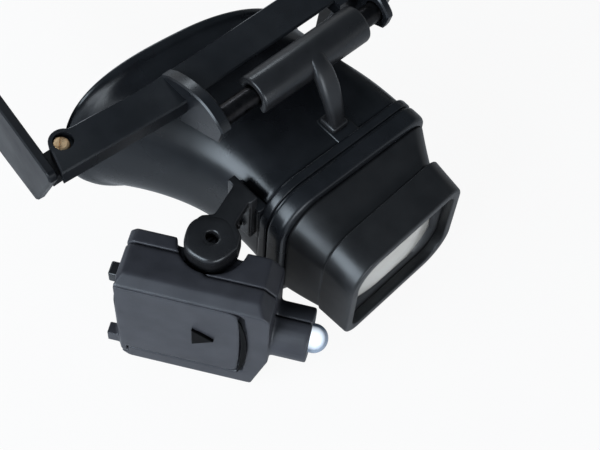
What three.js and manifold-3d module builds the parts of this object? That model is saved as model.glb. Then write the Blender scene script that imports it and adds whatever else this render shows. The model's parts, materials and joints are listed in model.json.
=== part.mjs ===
// A lighted magnifying loupe on a spectacle frame, as an assembly of separate pieces.
// Millimetres, +X towards the wearer's left, -Y forward, +Z up.
// It is drawn from the middle of the brow bar's rear top edge and then set down on its feet.
import * as THREE from 'three';
import { mergeVertices } from 'three/addons/utils/BufferGeometryUtils.js';
import Module from 'manifold-3d';

const wasm = await Module();
wasm.setup();

// Clearances and overruns
const seamGap = 0.3;
const runningGap = 0.25;
const cutOverrun = 1;

// Brow bar and its hinge ends
const barDepth = 7.2;
const barThick = 3.4;
const barEdgeRound = 0.3;
const barLip = 0.5;
const barUndercut = 1.9;
const barStraightHalf = 51;
const hingeHalfSpan = 70.9;
const hingeForward = 0.2;
const hingeLobeRadius = 2.6;
const barEndReach = 4.1;
const barEndForward = 5.3;
const forkPlateThick = 1.3;
const forkPlateRadius = 1.9;
const forkWebLength = 2.2;
const forkWebShare = 0.7;
const tongueThick = 2.4;
const tongueSlack = 0.18;
const hingeScrewRadius = 0.9;
const hingeHeadRadius = 1.6;
const hingeHeadHeight = 0.9;
const hingeHeadSink = 0.5;
const slotWidth = 0.45;
const slotDepth = 0.4;

// Temples
const templeThick = 1.8;
const templeReach = 3.97;
const templeHeight = 18.6;
const templeForward = 5.2;
const templeFrontSlant = 8.2;
const templeLowRun = 13;
const templeLowDrop = 1.2;
const templeMidHeight = 7.5;
const templeStraight = 96;
const templeHookRun = 34;
const templeTipHeight = 7;
const templeToe = THREE.MathUtils.degToRad(6.4);
const tongueForward = 3;
const tongueInset = 1.2;
const templeFootLength = 7;

// Ears that carry the rod
const earThick = 2.4;
const noseEarThick = 1.6;
const earNose = 3.4;
const earCrown = 4.65;
const earChin = 2.75;
const earSkirtDrop = 8.6;
const earSkirtForward = 4.6;
const rightEarX = -49.7;
const nearEarX = -10.2;
const bridgeWebWidth = 4.5;
const bridgeWebReach = 1.5;
// Places along the ear's top edge, as shares of its run from the bar to its nose and of its rise.
const earTopShares = [[0, 0], [0.13, 0.44], [0.26, 0.7], [0.37, 0.85], [0.48, 0.95], [0.63, 1], [0.72, 0.94],
  [0.8, 0.81], [0.87, 0.64], [0.93, 0.42], [0.98, 0.18], [1, 0]];
const earBrowShare = 0.97;
const earChinShare = 0.94;

// Rod
const rodForward = 13.1;
const rodDrop = 0.95;
const rodRadius = 1.95;
const rodSeatDepth = 1;

// Slider clip and its curved arm
const clipWall = 1.45;
const clipLength = 25.9;
const clipStartX = -39.7;
const clipThickLength = 13;
const clipSwell = 0.25;
const clipEndRound = 0.7;
const clipMouthFrom = THREE.MathUtils.degToRad(184);
const clipMouthTo = THREE.MathUtils.degToRad(316);
const armCentreX = -26;
const armWidth = 4.6;
const armThick = 2.4;
const armReach = 10.2;
const armFootLength = 4.2;
const armFootThick = 1.6;
const armRootAngle = THREE.MathUtils.degToRad(80);
const armRootShare = 0.44;
const armElbowShares = [0.1, 0.3];
const armMarkRadius = 0.45;
const armMarkDepth = 0.5;
const armMarkInset = 1;
const padMargin = 0.25;

// Eyecup housing
const housingWall = 1.5;
const ringForward = 25;
const ringCentreX = -29.6;
const ringTop = -12;
const ringHeight = 29.5;
const ringWidth = 36.4;
const ringLedge = 0.9;
const rimForward = -9.8;
const rimTempleX = -65.6;
const rimNoseX = -14;
const rimTop = -2.5;
const rimHeight = 37;
const rimNoseAdvance = 6.4;
const rimFootAdvance = 3.6;
const rimBeadWidth = 1.2;
const rimBeadHeight = 0.6;
const padHeight = 0.35;

// Front ring
const ringFirstDepth = 1.9;
const ringGrooveWidth = 0.5;
const ringGrooveDepth = 0.6;
const ringSecondDepth = 3.6;
const ringBevel = 0.9;
const ringSpigotDepth = 2.2;
const ringOpeningWidth = 25.6;
const ringOpeningHeight = 20.4;
const ringOpeningCorner = 5;
const ringCorner = 3.6;
const spigotPower = 4.4;

// Lens tube, bezel and lenses
const lensToe = THREE.MathUtils.degToRad(3.2);
const lensCentreX = -29.7;
const lensCentreZ = -27.65;
const bezelWidth = 29.4;
const bezelHeight = 23.2;
const bezelDepth = 7.2;
const bezelCorner = 3.6;
const bezelFrontForward = 45.7;
const bezelOpeningWidth = 25.2;
const bezelOpeningHeight = 19.3;
const bezelOpeningCorner = 2.8;
const bezelFrontWall = 2;
const bezelSideWall = 0.9;
const bezelEdgeRound = 0.5;
const bezelSwell = 0.9;
const tubeBackWidth = 34.4;
const tubeBackHeight = 26.6;
const tubeFrontWidth = 28.8;
const tubeFrontHeight = 22.4;
const tubeWall = 1.6;
const tubeSpigotDepth = 8;
const tubeSpigotSlack = 0.7;
const tubeCorner = 3.5;
const tubeBackShift = 0.6;
const tubeHeel = 0.6;
const tubeCollar = 0.5;
const frontLensEdge = 1.4;
const frontLensBulge = 1.7;
const rearLensEdge = 1.2;
const rearLensBulge = 1.1;
const spacerDepth = 1;
const spacerWall = 1.1;
const lensRingShares = [1, 0.86, 0.64, 0.36];
const frontLandShare = 0.9;
const rearLandShare = 0.82;

// Lamp: its place, its pod and its light tube
const lampPivotX = -58.9;
const lampPivotForward = 25;
const lampTop = -15;
const lampAngle = THREE.MathUtils.degToRad(34.7);
const podRear = 14.9;
const podFront = 13.2;
const podHeight = 30.3;
const podInner = 0.5;
const podLedge = 9.7;
const podOuter = 12;
const podShoulder = 1.3;
const podFootChamfer = 1.2;
const podCorner = 2.4;
const podNoseSlant = 2.9;
const podNoseRise = 12;
const podWall = 1.3;
const podSeamRear = 3.4;
const podSeamStep = 0.3;
const lightTubeRadius = 5.1;
const lightTubeLength = 6.8;
const lightDrop = 13.9;
const lightAcross = 6.6;
const seamDepth = 0.5;
const seamWidth = 0.3;
const shellScrewInset = 2.7;
const shellScrewRise = 3.6;
const shellScrewSink = 0.9;
const shellScrewBite = 2.6;
const recessRadius = 6.3;
const recessDepth = 3;
const lugRadius = 4.2;
const lugHeight = 6;

// Lamp bracket, pivot screw, washer and small screws
const knuckleRadius = 4.9;
const knuckleRise = 2.4;
const bracketArmWidth = 4.4;
const bracketArmThick = 2;
const bracketRootX = -47.9;
const bracketRootThick = 1.7;
const bracketRootRear = 17.8;
const bracketRootLength = 6.4;
const bracketRootHeight = 12.8;
const bracketScrewShares = [0.18, 0.52];
const braceReach = 4;
const braceDrop = 3;
const braceThick = 1.4;
const knuckleSides = 5;
const knuckleCornerShare = 0.2;
const knuckleEase = 0.4;
const pivotScrewRadius = 0.75;
const pivotHeadRadius = 1.15;
const pivotHeadHeight = 1.1;
const pivotScrewSink = 1.4;
const pivotScrewBite = 4.5;
const washerRadius = 3.2;
const washerThick = 0.35;
const smallScrewRadius = 0.7;
const smallHeadRadius = 1.35;
const smallHeadHeight = 0.7;
const smallScrewLength = 3.4;

// Battery door
const doorThick = 1.4;
const doorTop = 1.7;
const doorFootMargin = 4.9;
const doorFront = 8.4;
const doorEndGap = 1;
const doorCorner = 1.2;
const doorBow = 1.7;
const doorCapBulge = 1.3;
const doorCapAcross = 4.8;
const doorCapTop = 10.2;
const doorCapExtra = 1.5;
const doorTabLength = 2.8;
const doorTabHeight = 3;
const doorTabWidth = 2.4;
const doorTabInset = 1.8;
const doorTabRise = 1.4;
const arrowLength = 3.2;
const arrowHeight = 4.6;
const arrowSink = 0.6;
const arrowPlace = 0;
const arrowLowering = 0.1;
const railReach = 0.6;
const railThick = 0.6;
const railShortfall = 1;

// Cells, contacts and board
const cellRadius = 8;
const cellThick = 1.6;
const cellAlong = -3.2;
const bayRear = 6.4;
const bayInner = 1.8;
const bayOuter = 9.6;
const bayHalfHeight = 7.8;
const boardPlace = 1.2;
const contactThick = 0.35;
const contactWidth = 4;
const contactLength = 9;
const stripNotch = 1.1;
const boardThick = 0.9;
const boardHeight = 8;

// Switch knob
const knobSize = 2.8;
const knobReach = 3.8;
const knobDrop = 7.3;
const knobAcross = 6.3;
const knobTravel = 2.2;
const knobFlangeThick = 0.7;
const knobFlangeRise = 2.4;
const knobFlangeFall = 4.6;
const knobFlangeMargin = 0.7;

// Light and its wires
const ledRadius = 2.8;
const ledFlangeRadius = 3.1;
const ledFlangeDepth = 1;
const ledBodyDepth = 8.6;
const ledReach = 4.8;
const leadRadius = 0.28;
const leadSpacing = 2.54;

// Nose bridge
const bridgeBlockWidth = 13;
const bridgeBlockDepth = 4.6;
const bridgeBlockThick = 2.4;
const bridgeForward = 1.2;
const bridgeLegThick = 1.8;
const bridgeLegTopHalf = 4.6;
const bridgeLegFootHalf = 7.8;
const bridgeScrewHalfSpan = 2.1;
const bridgeScrewLength = 4.6;
const legShoulder = 5;
const legFootForward = -3.4;
const legFootDepth = 3.4;
const nosePadEase = 0.4;
const bridgeLegDrop = 24;
const nosePadLength = 13;
const nosePadWidth = 6.4;
const nosePadThick = 1.7;

// Steps of round stretches
const arcSteps = 8;
const ringPoints = 48;
const turnSteps = 28;
const smallTurnSteps = 14;
const bellSteps = 9;
const bandSteps = 12;
const weld = 1e-4;

// Places that follow from the sizes
const lampFloor = lampTop - podHeight;
const lightUp = lampTop - lightDrop;
const ringCentreZ = ringTop - ringHeight / 2;
const ringFront = ringForward + ringFirstDepth + ringGrooveWidth + ringSecondDepth;
const rodFrom = rightEarX + earThick - rodSeatDepth;
const rodTo = nearEarX + rodSeatDepth;
const clipBore = rodRadius + runningGap;
const clipRadius = clipBore + clipWall;
const barEndHalf = hingeHalfSpan + barEndReach;
const templeInner = hingeHalfSpan + templeReach;
const tongueTop = -barThick - seamGap;
const tongueRadius = hingeLobeRadius - tongueSlack;
const forkTop = tongueTop - tongueThick - seamGap;
const pocketRadius = cellRadius + 2 * runningGap;
const doorInner = podOuter - doorThick;
const doorHeight = podHeight - doorTop - doorFootMargin;
const doorFoot = doorTop + doorHeight;
const doorCapThick = podWall - seamGap;
const doorCapFoot = doorFoot + doorCapExtra;
const cellDrop = doorTop + doorHeight / 2;
const arrowDrop = cellDrop + arrowLowering;
const shellScrewDrop = podHeight - shellScrewRise;
const knuckleTop = lampTop + knuckleRise;
const knuckleBottom = lampTop - recessDepth + washerThick + 2 * runningGap;

// Turns a closed geometry into a solid that can be joined and cut, with its faces pointing out.
function solidOf(geometry) {
  const bare = geometry.clone();
  bare.deleteAttribute('normal');
  bare.deleteAttribute('uv');
  const merged = mergeVertices(bare, weld);
  const places = merged.attributes.position.array;
  const corners = merged.index.array;
  const point = (i) => new THREE.Vector3().fromArray(places, 3 * i);
  let volume = 0;
  for (let i = 0; i < corners.length; i += 3) {
    const [a, b, c] = [point(corners[i]), point(corners[i + 1]), point(corners[i + 2])];
    volume += a.dot(b.cross(c));
  }
  const faces = new Uint32Array(corners);
  if (volume < 0) {
    for (let i = 0; i < faces.length; i += 3) {
      [faces[i + 1], faces[i + 2]] = [faces[i + 2], faces[i + 1]];
    }
  }
  const mesh = new wasm.Mesh({ numProp: 3, vertProperties: new Float32Array(places), triVerts: faces });
  return new wasm.Manifold(mesh);
}

// Gives the vertices and triangles of a solid back as a geometry.
function geometryOf(manifold) {
  const mesh = manifold.getMesh();
  const geometry = new THREE.BufferGeometry();
  geometry.setAttribute('position', new THREE.BufferAttribute(new Float32Array(mesh.vertProperties), 3));
  geometry.setIndex(new THREE.BufferAttribute(new Uint32Array(mesh.triVerts), 1));
  return geometry;
}

function joined(first, ...others) {
  return others.reduce((sum, next) => sum.add(next), first);
}

function cut(first, ...tools) {
  return tools.reduce((rest, tool) => rest.subtract(tool), first);
}

function common(first, ...others) {
  return others.reduce((rest, next) => rest.intersect(next), first);
}

// The same solid on the other side of the wearer's middle plane.
function mirrored(manifold) {
  const geometry = geometryOf(manifold);
  geometry.scale(-1, 1, 1);
  return solidOf(geometry);
}

// Turns a solid about an upright axis and about a sideways axis through a place.
function swung(manifold, angle, x, forward) {
  const geometry = geometryOf(manifold);
  geometry.translate(-x, forward, 0);
  geometry.rotateZ(angle);
  geometry.translate(x, -forward, 0);
  return solidOf(geometry);
}

function extruded(shape, depth, bevel) {
  return new THREE.ExtrudeGeometry(shape, {
    depth: depth - 2 * bevel,
    curveSegments: arcSteps,
    bevelEnabled: bevel > 0,
    bevelThickness: bevel,
    bevelSize: bevel,
    bevelOffset: -bevel,
    bevelSegments: 1,
  });
}

// An outline drawn in x and y, raised from a bottom height.
function planSolid(shape, bottom, height, bevel = 0) {
  const geometry = extruded(shape, height, bevel);
  geometry.translate(0, 0, bottom + bevel);
  return solidOf(geometry);
}

// An outline drawn as (forward, up), drawn out sideways between two places along x.
function sideSolid(shape, fromX, toX, bevel = 0) {
  const geometry = extruded(shape, toX - fromX, bevel);
  const forward = new THREE.Vector3(0, -1, 0);
  const up = new THREE.Vector3(0, 0, 1);
  geometry.applyMatrix4(new THREE.Matrix4().makeBasis(forward, up, new THREE.Vector3(-1, 0, 0)));
  geometry.translate(toX - bevel, 0, 0);
  return solidOf(geometry);
}

// An outline drawn as (x, up), drawn out forward from a rear place.
function frontSolid(shape, rear, depth, bevel = 0) {
  const geometry = extruded(shape, depth, bevel);
  const side = new THREE.Vector3(1, 0, 0);
  const up = new THREE.Vector3(0, 0, 1);
  geometry.applyMatrix4(new THREE.Matrix4().makeBasis(side, up, new THREE.Vector3(0, -1, 0)));
  geometry.translate(0, -(rear + bevel), 0);
  return solidOf(geometry);
}

function blockSolid([fromX, toX], [fromForward, toForward], [bottom, top]) {
  const geometry = new THREE.BoxGeometry(toX - fromX, toForward - fromForward, top - bottom);
  geometry.translate((fromX + toX) / 2, -(fromForward + toForward) / 2, (bottom + top) / 2);
  return solidOf(geometry);
}

// A solid of revolution, from a profile of (radius, place along the axis).
function turned(profile, axis, centre, steps = turnSteps) {
  const points = profile.map(([radius, place]) => new THREE.Vector2(radius, place));
  const geometry = new THREE.LatheGeometry(points, steps);
  if (axis === 'up') geometry.rotateX(Math.PI / 2);
  if (axis === 'x') geometry.rotateZ(-Math.PI / 2);
  if (axis === 'forward') geometry.rotateX(Math.PI);
  geometry.translate(centre.x, -centre.forward, centre.up);
  return solidOf(geometry);
}

function pin(radius, from, to, axis, centre, steps = turnSteps) {
  return turned([[0, from], [radius, from], [radius, to], [0, to]], axis, centre, steps);
}

function polygon(points) {
  return new THREE.Shape(points.map(([a, b]) => new THREE.Vector2(a, b)));
}

function roundedRectangle(centreA, centreB, width, height, radius) {
  const shape = new THREE.Shape();
  const [left, right] = [centreA - width / 2, centreA + width / 2];
  const [low, high] = [centreB - height / 2, centreB + height / 2];
  const quarter = Math.PI / 2;
  shape.moveTo(left + radius, low);
  shape.lineTo(right - radius, low);
  shape.absarc(right - radius, low + radius, radius, -quarter, 0, false);
  shape.lineTo(right, high - radius);
  shape.absarc(right - radius, high - radius, radius, 0, quarter, false);
  shape.lineTo(left + radius, high);
  shape.absarc(left + radius, high - radius, radius, quarter, 2 * quarter, false);
  shape.lineTo(left, low + radius);
  shape.absarc(left + radius, low + radius, radius, 2 * quarter, 3 * quarter, false);
  return shape;
}

// A squared-off oval in x and up; a power for each quarter, from the nose's top round, sets how
// square its corners are.
function ovalPoints(centreX, centreUp, halfWidth, halfHeight, powers) {
  const points = [];
  for (let i = 0; i < ringPoints; i += 1) {
    const angle = (2 * Math.PI * i) / ringPoints;
    const power = powers[Math.floor((powers.length * i) / ringPoints)];
    const [c, s] = [Math.cos(angle), Math.sin(angle)];
    points.push({
      x: centreX + halfWidth * Math.sign(c) * Math.abs(c) ** (2 / power),
      up: centreUp + halfHeight * Math.sign(s) * Math.abs(s) ** (2 / power),
    });
  }
  return points;
}

function ovalRing(centreX, centreUp, halfWidth, halfHeight, power, forward) {
  return ovalPoints(centreX, centreUp, halfWidth, halfHeight, [power])
    .map((p) => new THREE.Vector3(p.x, -forward, p.up));
}

// Skins a row of rings with the same number of points and closes both ends.
function loft(rings) {
  const count = rings[0].length;
  const points = rings.flat();
  const faces = [];
  for (let r = 0; r + 1 < rings.length; r += 1) {
    for (let i = 0; i < count; i += 1) {
      const a = r * count + i;
      const b = r * count + ((i + 1) % count);
      faces.push(a, b, a + count, b, b + count, a + count);
    }
  }
  [0, rings.length - 1].forEach((r) => {
    const middle = new THREE.Vector3();
    rings[r].forEach((point) => middle.add(point));
    points.push(middle.divideScalar(count));
    for (let i = 0; i < count; i += 1) {
      const a = r * count + i;
      const b = r * count + ((i + 1) % count);
      faces.push(...(r === 0 ? [b, a, points.length - 1] : [a, b, points.length - 1]));
    }
  });
  const geometry = new THREE.BufferGeometry();
  const places = points.flatMap((p) => [p.x, p.y, p.z]);
  geometry.setAttribute('position', new THREE.Float32BufferAttribute(places, 3));
  geometry.setIndex(faces);
  return solidOf(geometry);
}

// A band of even thickness under a curve drawn as (forward, up).
function bandShape(curve, thickness) {
  const outer = curve.getPoints(bandSteps);
  const inner = outer.map((point, i) => {
    const tangent = curve.getTangent(i / bandSteps);
    return [point.x + tangent.y * thickness, point.y - tangent.x * thickness];
  });
  return polygon([...outer.map((p) => [p.x, p.y]), ...inner.reverse()]);
}

// The brow bar from above: straight in the middle and swept back a little to the hinge lobes.
// Each place is a share of the sweep from the straight part to the lobe's side, and of the lobe's reach.
const barSweepShares = [[0, 0], [0.3, 0.12], [0.5, 0.38], [0.66, 0.64], [0.86, 0.88], [1, 1]];
const lobeSideShare = 1.25;
const lobeSideReachShare = 0.6;
const lobeBackShare = 0.85;
const lobeEndShares = [0.9, 0.3];

function barOutline() {
  const sweepTo = hingeHalfSpan - lobeSideShare * hingeLobeRadius;
  const sweepRise = lobeSideReachShare * hingeLobeRadius - hingeForward;
  const [lobeAcross, lobeBack] = lobeEndShares;
  const half = [
    ...barSweepShares.map(([run, rise]) => [barStraightHalf + (sweepTo - barStraightHalf) * run, sweepRise * rise]),
    [hingeHalfSpan, lobeBackShare * hingeLobeRadius - hingeForward],
    [hingeHalfSpan + lobeAcross * hingeLobeRadius, lobeBack * hingeLobeRadius - hingeForward],
    [barEndHalf, -barEndForward],
    [barStraightHalf, -barDepth],
  ];
  const other = half.map(([x, y]) => [-x, y]).reverse();
  return polygon([...half, ...other]);
}

// An ear from the side: a fin that bows up from the bar, over the rod's end and down to its nose.
function earOutline() {
  const run = rodForward + earNose;
  const rise = earCrown - rodDrop;
  return polygon([
    ...earTopShares.map(([along, up]) => [run * along, rise * up]), [run * earBrowShare, -(rodDrop + earChin / 2)],
    [run * earChinShare, -(rodDrop + earChin)], [earSkirtForward, -earSkirtDrop], [0, -barThick],
  ]);
}

// One hinge fork, on the wearer's left: a lower plate, its web, the screw's hole and head recess.
function forkParts() {
  const centre = { x: hingeHalfSpan, forward: hingeForward, up: 0 };
  const forkFoot = forkTop - forkPlateThick;
  const webX = hingeHalfSpan - hingeLobeRadius - seamGap;
  const plate = joined(
    pin(forkPlateRadius, forkFoot, forkTop, 'up', centre),
    blockSolid([webX - forkWebLength, hingeHalfSpan],
      [hingeForward - forkPlateRadius, hingeForward + forkPlateRadius], [forkFoot, forkTop]),
  );
  const web = blockSolid([webX - forkWebLength, webX], [hingeForward - forkWebShare * forkPlateRadius,
    hingeForward + forkPlateRadius], [forkFoot, -barThick / 2]);
  const hole = pin(hingeScrewRadius + runningGap, forkFoot - cutOverrun, cutOverrun, 'up', centre,
    smallTurnSteps);
  const recess = pin(hingeHeadRadius + runningGap, -hingeHeadHeight - hingeHeadSink, cutOverrun, 'up', centre);
  return { lobe: pin(hingeLobeRadius, -barThick, 0, 'up', centre), plate, web, hole, recess };
}

function browBar() {
  const fork = forkParts();
  const under = sideSolid(polygon([
    [barDepth + cutOverrun, -barLip], [barDepth, -barLip], [barDepth - barUndercut, -barThick],
    [barDepth - barUndercut, -barThick - cutOverrun], [barDepth + cutOverrun, -barThick - cutOverrun],
  ]), rightEarX + earThick / 2, nearEarX + noseEarThick / 2);
  const bar = cut(planSolid(barOutline(), -barThick, barThick, barEdgeRound), under);
  const ears = [[rightEarX, earThick], [nearEarX, noseEarThick]].map(([x, thick]) => sideSolid(earOutline(), x,
    x + thick, barEdgeRound));
  const webTo = nearEarX + noseEarThick / 2;
  const web = blockSolid([nearEarX - bridgeWebWidth, webTo],
    [barDepth / 2, barDepth + bridgeWebReach], [-barThick, 0]);
  const rodHole = pin(rodRadius + runningGap, rodFrom - runningGap, rodTo + runningGap, 'x', rodAxis());
  const whole = joined(bar, ...ears, web, fork.lobe, mirrored(fork.lobe), fork.plate, mirrored(fork.plate),
    fork.web, mirrored(fork.web));
  return cut(whole, rodHole, fork.hole, mirrored(fork.hole), fork.recess, mirrored(fork.recess),
    ...bridgeScrewHoles());
}

function rodAxis() {
  return { x: 0, forward: rodForward, up: -rodDrop };
}

// A slotted screw that stands upright in a hinge, head up.
function hingeScrew() {
  const centre = { x: hingeHalfSpan, forward: hingeForward, up: 0 };
  const top = -hingeHeadSink;
  const under = top - hingeHeadHeight;
  const end = forkTop - forkPlateThick;
  const body = turned([[0, end], [hingeScrewRadius, end], [hingeScrewRadius, under],
    [hingeHeadRadius, under], [hingeHeadRadius, top - 0.3 * hingeHeadHeight], [0.8 * hingeHeadRadius, top],
    [0, top]], 'up', centre, smallTurnSteps);
  const slot = blockSolid([hingeHalfSpan - 2 * hingeHeadRadius, hingeHalfSpan + 2 * hingeHeadRadius],
    [hingeForward - slotWidth / 2, hingeForward + slotWidth / 2], [top - slotDepth, top + cutOverrun]);
  return cut(body, swung(slot, Math.PI / 5, hingeHalfSpan, hingeForward));
}

// The temple from the side, as (forward, up): a broad slanted front end that runs back as a tapering
// blade, with a hook down to a flat foot.
const templeBrowShares = [0.06, 0.1];
const templeChinShare = 0.06;
const hookShares = { start: 0.45, foot: 0.55, back: 0.2, rise: 0.5, top: 0.75 };

function templeOutline() {
  const front = templeForward;
  const hookFrom = -templeStraight;
  const hookEnd = hookFrom - templeHookRun;
  const lowFront = front - templeFrontSlant;
  const [browRun, browDrop] = templeBrowShares;
  const shape = new THREE.Shape();
  shape.moveTo(front - browRun * templeHeight, 0);
  shape.quadraticCurveTo(front, 0, front, -browDrop * templeHeight);
  shape.lineTo(lowFront + templeChinShare * templeFrontSlant, -templeHeight + templeChinShare * templeHeight);
  shape.quadraticCurveTo(lowFront, -templeHeight, lowFront - templeChinShare * templeHeight, -templeHeight);
  shape.lineTo(lowFront - templeLowRun, -(templeHeight + templeLowDrop));
  shape.bezierCurveTo(lowFront - 2 * templeLowRun, -(templeHeight + templeLowDrop), hookFrom + 2 * templeLowRun,
    -templeMidHeight, hookFrom, -templeMidHeight);
  shape.bezierCurveTo(hookFrom - hookShares.start * templeHookRun, -templeMidHeight, hookEnd + templeTipHeight,
    hookShares.foot * lampFloor, hookEnd + templeFootLength, lampFloor);
  shape.lineTo(hookEnd, lampFloor);
  shape.bezierCurveTo(hookEnd - hookShares.back * templeTipHeight, hookShares.rise * lampFloor,
    hookFrom - hookShares.top * templeHookRun, 0, hookFrom, 0);
  return shape;
}

// A temple on the wearer's left, with its hinge tongue.
function temple() {
  const blade = sideSolid(templeOutline(), templeInner, templeInner + templeThick, barEdgeRound);
  const turnedBlade = swung(blade, templeToe, hingeHalfSpan, hingeForward);
  const [bottom, top] = [tongueTop - tongueThick, tongueTop];
  const centre = { x: hingeHalfSpan, forward: hingeForward, up: 0 };
  const end = templeInner + templeThick / 2;
  const tongue = joined(
    pin(tongueRadius, bottom, top, 'up', centre),
    planSolid(polygon([
      [hingeHalfSpan, tongueRadius - hingeForward], [end, tongueRadius - hingeForward], [end, -tongueForward],
      [hingeHalfSpan + tongueInset, -tongueForward], [hingeHalfSpan, -(hingeForward + tongueRadius)],
    ]), bottom, tongueThick),
  );
  const hole = pin(hingeScrewRadius + runningGap, bottom - cutOverrun, top + cutOverrun, 'up', centre,
    smallTurnSteps);
  return cut(joined(turnedBlade, tongue), hole);
}

function slideRod() {
  const from = rodFrom;
  const ease = 0.15 * rodRadius;
  return turned([[0, from], [rodRadius - ease, from], [rodRadius, from + ease], [rodRadius, rodTo - ease],
    [rodRadius - ease, rodTo], [0, rodTo]], 'x', rodAxis());
}

// A C-shaped section round the rod, open below and behind.
function clipSection(outer) {
  const shape = new THREE.Shape();
  const [from, to] = [clipMouthTo - 2 * Math.PI, clipMouthFrom];
  shape.absarc(rodForward, -rodDrop, outer, from, to, false);
  shape.absarc(rodForward, -rodDrop, clipBore, to, from, true);
  return shape;
}

// The arm springs from the top of the clip, bends down ahead of it and ends in a flat foot.
function sliderClip() {
  const end = clipStartX + clipLength;
  const tube = sideSolid(clipSection(clipRadius), clipStartX, end - clipThickLength + cutOverrun);
  const sleeve = sideSolid(clipSection(clipRadius + clipSwell), end - clipThickLength, end);
  const reach = clipRadius + clipEndRound;
  const endRounding = turned([[0, clipStartX - cutOverrun], [reach, clipStartX - cutOverrun],
    [reach, end - 3 * clipEndRound], [clipRadius + clipSwell, end - 1.6 * clipEndRound],
    [clipRadius - clipEndRound, end], [0, end]], 'x', rodAxis());
  const footTop = armFootBottom() + armFootThick;
  const outer = clipRadius + clipSwell;
  const axis = new THREE.Vector2(rodForward, -rodDrop);
  const leaving = new THREE.Vector2(Math.cos(armRootAngle), Math.sin(armRootAngle));
  const start = axis.clone().addScaledVector(leaving, outer);
  const stop = new THREE.Vector2(rodForward + armReach, footTop - armFootThick);
  const curve = new THREE.CubicBezierCurve(start,
    start.clone().add(new THREE.Vector2(leaving.y, -leaving.x).multiplyScalar(armRootShare * armReach)),
    new THREE.Vector2(stop.x - armElbowShares[0] * armReach, stop.y + armElbowShares[1] * (start.y - stop.y)), stop);
  const [armFrom, armTo] = [armCentreX - armWidth / 2, armCentreX + armWidth / 2];
  const arm = sideSolid(bandShape(curve, armThick), armFrom, armTo);
  const foot = blockSolid([armFrom, armTo], [stop.x - armFootLength, stop.x], [armFootBottom(), footTop]);
  const bore = pin(clipBore, clipStartX - cutOverrun, end + cutOverrun, 'x', rodAxis());
  const shell = common(joined(tube, sleeve), endRounding);
  const underFoot = blockSolid([armFrom, armTo], [rodForward, rodForward + 2 * armReach],
    [armFootBottom() - clipLength, armFootBottom()]);
  const screwHole = pin(smallScrewRadius + runningGap, armFootBottom() - cutOverrun,
    armFootBottom() + 0.8 * smallScrewLength, 'up', armScrewCentre(), smallTurnSteps);
  const mark = pin(armMarkRadius, outer - rodDrop - armMarkDepth, outer + cutOverrun, 'up',
    { x: armFrom + armMarkInset, forward: start.x, up: 0 }, smallTurnSteps);
  return cut(joined(shell, arm, foot), bore, underFoot, screwHole, mark);
}

function armFootBottom() {
  return housingTopAt(rodForward + armReach - armFootLength) + padHeight;
}

function armScrewCentre() {
  return { x: armCentreX, forward: rodForward + armReach - armFootLength / 2, up: 0 };
}

function armScrew() {
  const seat = armFootBottom() - padHeight - housingWall;
  const end = armFootBottom() + 0.6 * smallScrewLength;
  return turned([[0, seat - smallHeadHeight], [0.8 * smallHeadRadius, seat - smallHeadHeight],
    [smallHeadRadius, seat - 0.6 * smallHeadHeight], [smallHeadRadius, seat - seamGap],
    [smallScrewRadius, seat - seamGap], [smallScrewRadius, end], [0, end]], 'up', armScrewCentre(), smallTurnSteps);
}

// The eyecup flares from the ring to the rim: slowly at the nose, late and wide at the temple and the top.
const templeFlareShare = 2.6;
const topFlareShare = 2.2;
const footFlareShare = 1.2;
const bellPower = 5;
const rimPowers = [2.1, 2.75, 1.9, 2.1];
const bellPowerFade = 1.6;

function bellSides(share, inset) {
  const mix = (a, b, power) => a + (b - a) * share ** power;
  return {
    temple: mix(ringCentreX - ringWidth / 2 + ringLedge, rimTempleX, templeFlareShare) + inset,
    nose: mix(ringCentreX + ringWidth / 2 - ringLedge, rimNoseX, 1) - inset,
    top: mix(ringTop - ringLedge, rimTop, topFlareShare) - inset,
    foot: mix(ringTop - ringHeight + ringLedge, rimTop - rimHeight, footFlareShare) + inset,
  };
}

function housingTopAt(forward) {
  return bellSides((ringForward - forward) / (ringForward - rimForward), 0).top;
}

function bellRing(share, inset, shift = 0) {
  const side = bellSides(share, inset);
  const powers = rimPowers.map((rimPower) => rimPower + (bellPower - rimPower) * (1 - share) ** bellPowerFade);
  const base = ringForward + (rimForward - ringForward) * share - shift;
  const oval = ovalPoints((side.temple + side.nose) / 2, (side.top + side.foot) / 2,
    (side.nose - side.temple) / 2, (side.top - side.foot) / 2, powers);
  return oval.map((p) => {
    const noseward = (p.x - rimTempleX) / (rimNoseX - rimTempleX);
    const downward = (rimTop - p.up) / rimHeight;
    const forward = base + share * (rimNoseAdvance * noseward + rimFootAdvance * downward);
    return new THREE.Vector3(p.x, -forward, p.up);
  });
}

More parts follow.
